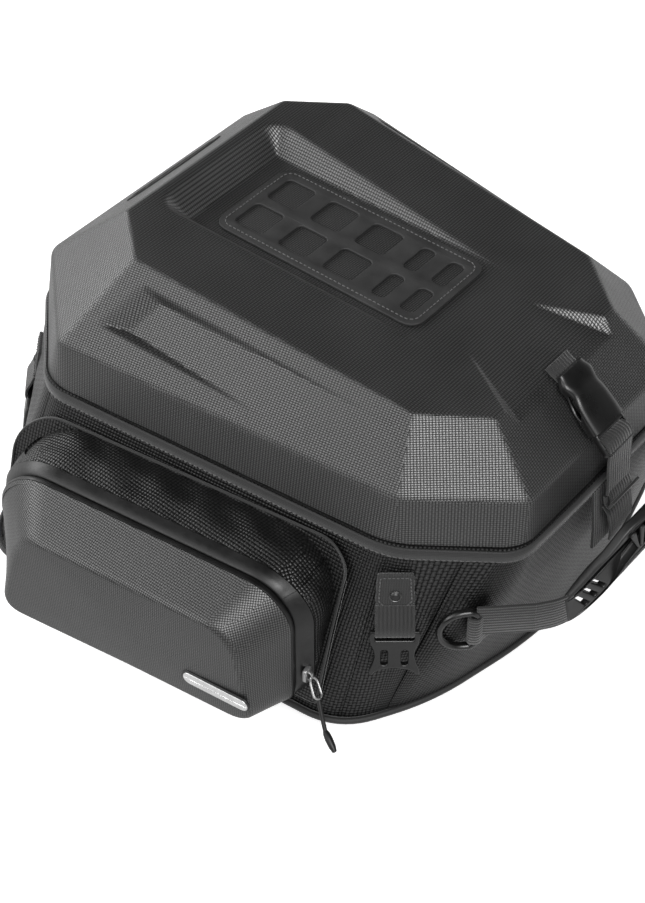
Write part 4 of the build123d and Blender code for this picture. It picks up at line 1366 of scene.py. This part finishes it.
def make_handle_webbing():
    """Webbing from its sewn ends on the body to the ends of the grip."""
    up = (0, 0, 1)
    ends = [((*p, HANDLE_Z)) for p in HANDLE_WEB]
    anchor = sweep("handle_anchor_right", smooth_path([(176, -111.5, HANDLE_Z), ends[0], ends[1], ends[2]], 2, 8),
                   band_section(WEBBING_W, WEBBING_T), up, WEBBING)
    free = sweep("handle_web_right", smooth_path([ends[2], ends[3], ends[4], (214.5, -63.0, HANDLE_Z + 2)], 1.5, 6),
                 band_section(WEBBING_W, WEBBING_T), up, WEBBING)
    anchors = [anchor, mirrored(anchor, "handle_anchor_left")]
    settle(join("handle_anchor_set", anchors), "body", "handle_anchors", "webbing")
    pair = join("handle_web", [free, mirrored(free, "handle_web_left")])
    settle(pair, "handle", "handle_webbing", "webbing")


# ---------------------------------------------------------------- front strap
def front_facet():
    """Frame on the front facet: x down the facet, y across the bag, z outward."""
    high = np.array([PLATEAU[3][0], 0, PLATEAU_Z - PLATEAU_FALL * PLATEAU[3][0]])
    low = np.array([BAND_TOP[3][0], 0, BAND_Z - BAND_FALL * BAND_TOP[3][0]])
    down = unit(low - high)
    return Frame(high, down, np.cross(down, (0, 1, 0)))


def female_buckle(place):
    """Socket of the strap buckle: waisted shell with eye-shaped side windows, pinched at its nose."""
    s = np.linspace(0, BUCKLE_LEN, 36)
    share = s / BUCKLE_LEN
    half_w = BUCKLE_W / 2 * (0.80 + 0.20 * ease(share * 5) - 0.13 * np.exp(-((share - 0.36) / 0.13) ** 2)
                             + 0.04 * ease((share - 0.5) * 3))
    half_h = 5.4 * (0.55 + 0.45 * ease(share * 3.2))
    ring_at = np.linspace(0, 2 * math.pi, 40, endpoint=False)
    power = 0.42
    cx = np.sign(np.cos(ring_at)) * np.abs(np.cos(ring_at)) ** power
    cz = np.sign(np.sin(ring_at)) * np.abs(np.sin(ring_at)) ** (power + 0.2)
    outer = np.array([[(s_, w * x, h * z) for x, z in zip(cx, cz)] for s_, w, h in zip(s, half_w, half_h)])
    inner = np.array([[(s_, (w - 2.0) * x, (h - 1.7) * z) for x, z in zip(cx, cz)]
                      for s_, w, h in zip(s[4:], half_w[4:], half_h[4:])])
    rows = np.concatenate([outer, inner[::-1]])
    width = rows.shape[1]
    faces = grid_faces(len(rows), width)
    last = (len(rows) - 1) * width
    faces.append(tuple(reversed(range(width))))
    faces.append(tuple(last + i for i in range(width)))
    shell = add_piece("front_buckle_socket", place(rows), faces, PLASTIC, angle=40)
    weld(shell, 0.002)
    eye = [(12.5 + 17 * t, 3.1 * math.sin(math.pi * t) ** 0.8) for t in np.linspace(0, 1, 14)]
    eye += [(x, -z) for x, z in reversed(eye[1:-1])]
    across = Frame(place((0, 30, 0)), place.x, -place.y)
    cut(shell, plate("eye_cutter", eye, [], 60.0, across, PLASTIC, bevel=0.01))
    return shell


def make_front_strap():
    place = front_facet().shifted(x=BUCKLE_START, z=BUCKLE_HEIGHT)
    settle(female_buckle(place), "lid", "front_buckle_female", "buckle_plastic")
    facet = front_facet()
    tab = strap("front_strap_tab", facet, [(-1.5, 0, 0.9), (2.5, 0, 1.6), (6, 0, 3.0), (10.5, 0, 4.4)], WEBBING_W - 3,
                WEBBING_T, WEBBING, across=(0, 1, 0))
    settle(tab, "lid", "front_strap_patch", "webbing")
    start = BUCKLE_START + BUCKLE_LEN - 1
    pieces = []
    outline = rounded_rect(17, BUCKLE_W - 1, 2.6, start + 9.0, 0)
    holes = [rounded_rect(3.2, WEBBING_W, 1.0, start + 6.0, 0), rounded_rect(3.2, WEBBING_W, 1.0, start + 12.6, 0)]
    low = facet.shifted(z=BUCKLE_HEIGHT - 2.6)
    pieces.append(plate("male_yoke", outline, holes, 5.2, low, PLASTIC, bevel=1.2))
    for y in (-9.6, 0, 9.6):
        tongue = rounded_rect(26, 4.4, 1.8, start - 11, y)
        pieces.append(plate(f"male_prong_{int(y)}", tongue, [], 3.6, low.shifted(z=0.8), PLASTIC, bevel=0.9))
    male = join("front_buckle_plug", pieces)
    settle(male, "strap_end", "front_buckle_male", "buckle_plastic")


def make_strap_tail():
    """Webbing from the plug down over the lid's edge, folded back on itself and loose at its end."""
    facet = front_facet()
    start = BUCKLE_START + BUCKLE_LEN
    a, b = facet((start + 5, 0, BUCKLE_HEIGHT + 0.4)), facet((start + 12, 0, BUCKLE_HEIGHT - 1.5))
    path = [facet((start + 5, 0, BUCKLE_HEIGHT - 2.4)), a, facet((start + 9, 0, BUCKLE_HEIGHT + 4.2)),
            facet((start + 14, 0, BUCKLE_HEIGHT + 2.6)), (196.6, 0, 143), (198.2, 0, 130), (198.6, 0, 121)]
    lead = sweep("front_strap_lead", smooth_path(path, 1.2, 5), band_section(WEBBING_W, WEBBING_T, 0.5), (0, 1, 0), WEBBING)
    fold = [(198.6, 0, 123.5), (200.5, 0, 120.5), (201.8, 0.6, 113), (199.8, 1.2, 108.6), (197.4, 0.4, 112), (196.6, 0, 118)]
    turn = sweep("front_strap_fold", smooth_path(fold, 1.0, 3), band_section(WEBBING_W - 2, WEBBING_T, 0.5), (0, 1, 0), WEBBING)
    band = sweep("front_strap_keeper", smooth_path([(204.0, -14.5, 119), (204.0, 14.5, 119)], 2), circle(1.0, 10),
                 (0, 0, 1), TAPE)
    pair = join("front_strap_run", [lead, turn, band])
    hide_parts("front_strap_webbing")
    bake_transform(pair)
    flap = [(196.0, 1.5, 110), (199.5, 3.0, 104), (200.5, 5.5, 93), (199.8, 9.0, 82), (197.8, 12.5, 73)]
    tail = sweep("front_strap_anchor_web", smooth_path(
        [(188.8, 0, 117), (190.4, 0, 104), (192.4, 0, 88), (193.6, 0, 70)], 1.5, 4),
        band_section(WEBBING_W, WEBBING_T, 0.5), (0, 1, 0), WEBBING)
    loose = sweep("front_strap_flap", smooth_path(flap, 1.5, 4), band_section(WEBBING_W - 1, WEBBING_T, 0.5),
                  (0, 1.0, 0.25), WEBBING)
    settle(join("front_strap_anchor_set", [tail, loose]), "body", "front_strap_anchor", "webbing")


# ---------------------------------------------------------------- rear light slot
def make_rear_slot():
    """Reflector bar in a dark lens-shaped surround on the rear facet."""
    low = np.array([BAND_TOP[0][0], 0, BAND_Z - BAND_FALL * BAND_TOP[0][0]])
    high = np.array([PLATEAU[0][0], 0, PLATEAU_Z - PLATEAU_FALL * PLATEAU[0][0]])
    up = unit(high - low)
    place = Frame(low + up * np.linalg.norm(high - low) * 0.42, (0, -1, 0), np.cross((0, -1, 0), up))
    around = np.linspace(2 * math.pi, 0, 60, endpoint=False)
    lens = [(46 * math.sin(a), 7.5 * math.cos(a) * (1 - 0.25 * abs(math.sin(a)))) for a in around]
    surround = plate("rear_slot_surround", lens, [rounded_rect(78, 7.0, 3.4, steps=8)], 1.4,
                     place.shifted(z=-0.5), PATCH_RUBBER, bevel=0.5)
    settle(surround, "lid", None, "patch_rubber")
    bar = plate("rear_reflector_bar", rounded_rect(77, 6.4, 3.1, steps=8), [], 0.8, place.shifted(z=-0.4), REFLECTIVE,
                bevel=0.35)
    settle(bar, "lid", "rear_reflector", "reflector")


# ---------------------------------------------------------------- zips, sliders and hinge
def teeth(name, path, out, material, pitch=2.6):
    """A row of moulded zip teeth along a closed path, each a small rounded block."""
    path = np.asarray(path, float)
    loop = np.vstack([path, path[:1]])
    at = np.concatenate([[0], np.cumsum(np.linalg.norm(np.diff(loop, axis=0), axis=1))])
    count = int(at[-1] // pitch)
    d = np.arange(count) * at[-1] / count
    centre = np.stack([np.interp(d, at, loop[:, k]) for k in range(3)], 1)
    ahead = np.stack([np.interp((d + 1) % at[-1], at, loop[:, k]) for k in range(3)], 1) - centre
    ahead = unit(ahead)
    normals = np.vstack([out, out[:1]])
    n = unit(np.stack([np.interp(d, at, normals[:, k]) for k in range(3)], 1))
    up = np.cross(ahead, n)
    block = []
    for along, lift, w in ((-0.85, 0.0, 1.0), (-0.6, 0.55, 0.8), (0.6, 0.55, 0.8), (0.85, 0.0, 1.0)):
        block += [(along, lift, -w), (along, lift, w)]
    block = np.array(block)
    points = centre[:, None] + ahead[:, None] * block[None, :, 0:1] + n[:, None] * block[None, :, 1:2] + up[:, None] * block[None, :, 2:3]
    quads = [(0, 2, 3, 1), (2, 4, 5, 3), (4, 6, 7, 5), (0, 1, 7, 6), (0, 6, 4, 2), (1, 3, 5, 7)]
    faces = [tuple(v + 8 * k for v in q) for k in range(count) for q in quads]
    obj = add_piece(name, points, faces, material)
    weld(obj, 0.001)
    return obj


def zip_half(name, low, high, body, node):
    """One side of the main zip: tape edge and its teeth."""
    ring = rounded_loop(plan(RIM, RIM_Z, RIM_FALL), RIM_CUTS, BODY_STEPS, BEND)
    out = unit(np.cross(np.roll(ring, -1, 0) - np.roll(ring, 1, 0), (0, 0, 1)))
    shape = [(low, -1.0), (low + 0.1, -0.6), (high - 0.1, -0.6), (high, -1.0), (high, -4.0), (low, -4.0)]
    section = np.array([ring + out * o + np.array([0, 0, h]) for h, o in shape])
    tape = ring_piece(name + "_tape", section, ZIP_TAPE)
    settle(tape, body, node, "tape")
    row = teeth(name + "_teeth", ring - out * 0.9 + np.array([0, 0, (low + high) / 2]), out, PLASTIC)
    settle(row, body, None, "zip_metal")


def slider_body(name, place):
    """Zip slider lying in a frame: x along the zip, z outward, with its bridge."""
    outline = [(-6, -2.6), (-4.5, -4.0), (3.0, -4.0), (6, -2.2), (6, 2.2), (3.0, 4.0), (-4.5, 4.0), (-6, 2.6)]
    base = plate(name + "_base", rounded_outline(outline, 0.8, 2, 4), [], 3.0, place.shifted(z=0.4), ZIP_METAL, bevel=0.7)
    path = place(smooth_path([(-3.6, 0, 3.0), (-3.2, 0, 5.2), (0, 0, 6.2), (3.2, 0, 5.2), (3.6, 0, 3.0)], 0.8, 2))
    bridge = sweep(name + "_bridge", path, band_section(2.4, 1.1, 0.4), place.y, ZIP_METAL)
    return join(name, [base, bridge])


def make_main_sliders():
    """Two sliders with cord pulls, meeting halfway along the left side."""
    z = RIM_Z + BINDING_H + 0.9
    for end, direction in (("front", 1), ("rear", -1)):
        place = Frame(SIDE((direction * 6.5, -0.4, z)), SIDE.x * direction, -SIDE.y)
        body = slider_body(f"main_slider_{end}_body", place)
        pull = pull_tab(f"main_pull_{end}_tab", place.shifted(x=-1.0, z=0.0))
        for obj, rides, node, slot in ((body, f"main_slider_{end}", f"main_slider_{end}", "zip_metal"),
                                       (pull, f"main_pull_{end}", f"main_pull_{end}", "zip_metal")):
            mirror_in_place(obj)
            settle(obj, rides, node, slot)


def pull_tab(name, place):
    """Flat puller with a moulded grip on its outer end, lying along x."""
    ring = [(3.4 * math.cos(a) + 3.0, 2.6 * math.sin(a), 5.2) for a in np.linspace(0, 2 * math.pi, 20, endpoint=False)]
    wire = sweep(name + "_loop", place(np.array(ring)), circle(0.7, 8), place.z, ZIP_METAL, closed=True)
    outline = [(5.6, -1.6), (9, -2.8), (26, -3.4), (29.5, -1.8), (29.5, 1.8), (26, 3.4), (9, 2.8), (5.6, 1.6)]
    grip = plate(name + "_grip", rounded_outline(outline, 0.9, 2, 4), [rounded_rect(2.0, 2.0, 0.9, 8.0, 0)], 2.6,
                 place.shifted(z=4.2), CORD_RUBBER, bevel=0.9)
    return join(name, [wire, grip])


def mirror_in_place(obj):
    points = mesh_points(obj.data)
    points[:, 1] *= -1
    set_points(obj.data, points)
    obj.data.flip_normals()


def make_pocket_slider():
    """Slider parked at the pocket's lower front corner, with a wire loop, cord and moulded end."""
    s = POCKET_MOUTH[-1][0]
    place = Frame(on_side([s + 3.5, MOUTH_OFF - 4.5, 38.0]), (0, 0, -1), SIDE.x)
    body = slider_body("pocket_slider_body", place)
    settle(body, "pocket_slider", "pocket_slider", "zip_metal")
    loop = [(0, 0, 5.2), (1.5, -3.2, 6.2), (7, -8.2, 12.0), (9.2, -7.0, 14.6), (9.0, -2.8, 14.4), (3, 2.0, 7.6)]
    wire = sweep("pocket_pull_wire", place(smooth_path(np.array(loop + loop[:1]), 1.0, 2.5)[:-1]), circle(0.85, 8),
                 place.y, ZIP_METAL, closed=True)
    cord = [(8.0, -5.0, 13.0), (13, -8.4, 16.5), (19, -12, 20.5), (26, -16.5, 26)]
    line = sweep("pocket_pull_cord", place(smooth_path(cord, 1.0, 4)), circle(1.35, 10), place.y, CORD_RUBBER)
    bulge = [(0, 0), (1.4, 0.2), (2.2, 2.5), (2.5, 6), (2.3, 11), (1.4, 14.6), (0, 15)]
    tip = Frame(place((24.0, -15.0, 24.0)), place.x, place((0.45, -0.45, 0.77)) - place.o)
    end = lathe("pocket_pull_end", bulge, tip, CORD_RUBBER, steps=16)
    settle(join("pocket_pull_set", [wire, line, end]), "pocket_pull", "pocket_pull", "zip_metal")


def make_zips():
    zip_half("main_zip_lower", BINDING_H, BINDING_H + 0.8, "body", "main_zip_lower")
    zip_half("main_zip_upper", BINDING_H + 0.9, BINDING_H + 1.15, "lid", "main_zip_upper")


def make_hinge():
    """Fabric hinge across the rear: one strip over the joint, which on the bag is sewn to the lid and to the body; here
    it has no stitches and rides on neither.
    """
    path = [(HINGE_X + 1.6, HINGE_Z - 15), (HINGE_X + 0.2, HINGE_Z - 9), (HINGE_X - 0.6, HINGE_Z),
            (HINGE_X - 0.1, HINGE_Z + 8), (HINGE_X + 1.4, HINGE_Z + 15)]
    heights = np.linspace(path[0][1], path[-1][1], 25)
    x = np.interp(heights, [z for _, z in path], [x for x, _ in path])
    y = np.linspace(-HINGE_W / 2, HINGE_W / 2, 61)
    rows = np.stack(np.broadcast_arrays(x[:, None], y[None, ::-1], heights[:, None]), -1).astype(float)
    rows[..., 0] -= 0.25 * ripple(rows, 12.0)
    strip = sheet("lid_hinge_strip", rows, 1.0, GROSGRAIN)
    lay_weave(strip)
    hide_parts("body_hinge_tape", "lid_hinge_tape")
    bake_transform(strip)


def make_lid_lining():
    rows, _ = lid_surface()
    normals = row_normals(rows)
    rows = rows[3:]
    normals = normals[3:]
    lining = closed_shell("lid_lining_cloth", rows - normals * 3.6, rows - normals * 4.6, LINING_WEAVE)
    lay_weave(lining)
    settle(lining, "lid", "lid_lining", "lining")


def finish_cad_nodes():
    """The stiff base board keeps its own shape and gets its material."""
    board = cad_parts["base_board"]
    for material_slot in board.material_slots:
        material_slot.link = "OBJECT"
        material_slot.material = BOARD


# ---------------------------------------------------------------- stage
# On the bike the bag stands on a seat narrower than it, so its pocket can fold down past its base; here no seat is
# built and the floor is set lower instead.
FLOOR_Z = -0.022


def make_stage():
    scene = bpy.context.scene
    floor_mesh = bpy.data.meshes.new("floor")
    r = 6.0
    floor_mesh.from_pydata([(-r, -r, FLOOR_Z), (r, -r, FLOOR_Z), (r, r, FLOOR_Z), (-r, r, FLOOR_Z)], [], [(0, 1, 2, 3)])
    floor = bpy.data.objects.new("floor", floor_mesh)
    scene.collection.objects.link(floor)
    g = Graph("pale_floor")
    grain = g.noise(60.0)
    ray = g.node("ShaderNodeLightPath").outputs
    seen, mirrored_in = ray["Is Camera Ray"], ray["Is Glossy Ray"]
    g.finish(g.blend(seen, 0.16, g.blend(grain, 0.84, 0.88)), 0.7)
    glow = g.math("ADD", g.math("MULTIPLY", seen, 0.62), g.math("MULTIPLY", mirrored_in, 0.56))
    g.feed((1, 1, 1, 1), g.shader.inputs["Emission Color"])
    g.feed(g.math("ADD", glow, 0.02), g.shader.inputs["Emission Strength"])
    floor_mesh.materials.append(g.material)
    make_world(scene)
    scene.view_settings.view_transform = "Standard"


SKY_BASE = 0.006
SKY_GLOWS = [((-0.915, -0.06, 0.391), 12, 2.5), ((-0.45, -0.68, 0.58), 12, 2.4), ((0.547, -0.448, 0.677), 14, 4.2),
             ((0.15, 0.98, 0.05), 14, 1.8), ((0.96, 0.25, 0.12), 18, 0.8)]


def make_world(scene):
    """White to the camera; to everything else a dark room with a few broad soft glows."""
    world = bpy.data.worlds.new("studio")
    scene.world = world
    world.use_nodes = True
    tree = world.node_tree
    tree.nodes.clear()

    def node(kind, **settings):
        made = tree.nodes.new(kind)
        for key, value in settings.items():
            setattr(made, key, value)
        return made

    def maths(operation, a, b):
        made = node("ShaderNodeMath", operation=operation)
        for value, socket in zip((a, b), made.inputs):
            if isinstance(value, bpy.types.NodeSocket):
                tree.links.new(value, socket)
            else:
                socket.default_value = value
        return made.outputs[0]

    where = node("ShaderNodeTexCoord").outputs["Generated"]
    total = SKY_BASE
    for direction, sharpness, strength in SKY_GLOWS:
        dot = node("ShaderNodeVectorMath", operation="DOT_PRODUCT")
        tree.links.new(where, dot.inputs[0])
        dot.inputs[1].default_value = tuple(unit(direction))
        facing = maths("MAXIMUM", dot.outputs["Value"], 0.0)
        total = maths("ADD", maths("MULTIPLY", maths("POWER", facing, sharpness), strength), total)
    room, white = node("ShaderNodeBackground"), node("ShaderNodeBackground")
    tree.links.new(total, room.inputs["Strength"])
    room.inputs["Color"].default_value = (1, 1, 1, 1)
    white.inputs["Color"].default_value = (1, 1, 1, 1)
    mix = node("ShaderNodeMixShader")
    tree.links.new(node("ShaderNodeLightPath").outputs["Is Camera Ray"], mix.inputs[0])
    tree.links.new(room.outputs[0], mix.inputs[1])
    tree.links.new(white.outputs[0], mix.inputs[2])
    tree.links.new(mix.outputs[0], node("ShaderNodeOutputWorld").inputs[0])


def area_light(name, azimuth, elevation, distance, size, power):
    """A soft lamp seen from the bag at the given bearing and height, in degrees and metres."""
    a, e = math.radians(azimuth), math.radians(elevation)
    lamp = bpy.data.lights.new(name, "AREA")
    lamp.shape = "RECTANGLE"
    lamp.size, lamp.size_y = size
    lamp.energy = power
    obj = bpy.data.objects.new(name, lamp)
    bpy.context.scene.collection.objects.link(obj)
    obj.location = (distance * math.cos(e) * math.cos(a), distance * math.cos(e) * math.sin(a),
                    distance * math.sin(e) + 0.1)
    from mathutils import Vector
    obj.rotation_euler = (Vector((0, 0, 0.1)) - obj.location).to_track_quat("-Z", "Y").to_euler()


def make_lights():
    area_light("rear_low_strip", 190, 26, 1.6, (1.6, 0.6), 8)
    area_light("near_side_softbox", -112, 30, 1.9, (1.2, 0.7), 3)
    area_light("front_near_glow", -36, 50, 1.9, (0.9, 0.7), 12)


def make_camera():
    azimuth, elevation = math.radians(39.28), math.radians(45.36)
    aim_right, aim_up, distance = -26.4, 15.621, 1327.68
    right = np.array([math.cos(azimuth), math.sin(azimuth), 0])
    back = np.array([math.sin(azimuth) * math.cos(elevation), -math.cos(azimuth) * math.cos(elevation),
                     math.sin(elevation)])
    up = np.cross(back, right)
    from mathutils import Matrix
    camera = bpy.data.objects.new("camera", bpy.data.cameras.new("camera"))
    bpy.context.scene.collection.objects.link(camera)
    spot = (right * aim_right + up * aim_up + back * distance) * MM
    camera.matrix_world = Matrix([(*[float(v) for v in (right[i], up[i], back[i], spot[i])],) for i in range(3)]
                                 + [(0, 0, 0, 1)])
    camera.data.sensor_fit = "VERTICAL"
    camera.data.sensor_height = 36.0
    camera.data.lens = 75.40
    bpy.context.scene.camera = camera


# ---------------------------------------------------------------- everything
make_lid()
make_patch()
make_body()
make_base()
make_rim_binding()
make_pocket()
make_corners()
make_d_rings()
make_grip()
make_handle_webbing()
make_front_strap()
make_strap_tail()
make_rear_slot()
make_zips()
make_main_sliders()
make_pocket_slider()
make_hinge()
make_lid_lining()
finish_cad_nodes()
make_stage()
make_lights()
make_camera()
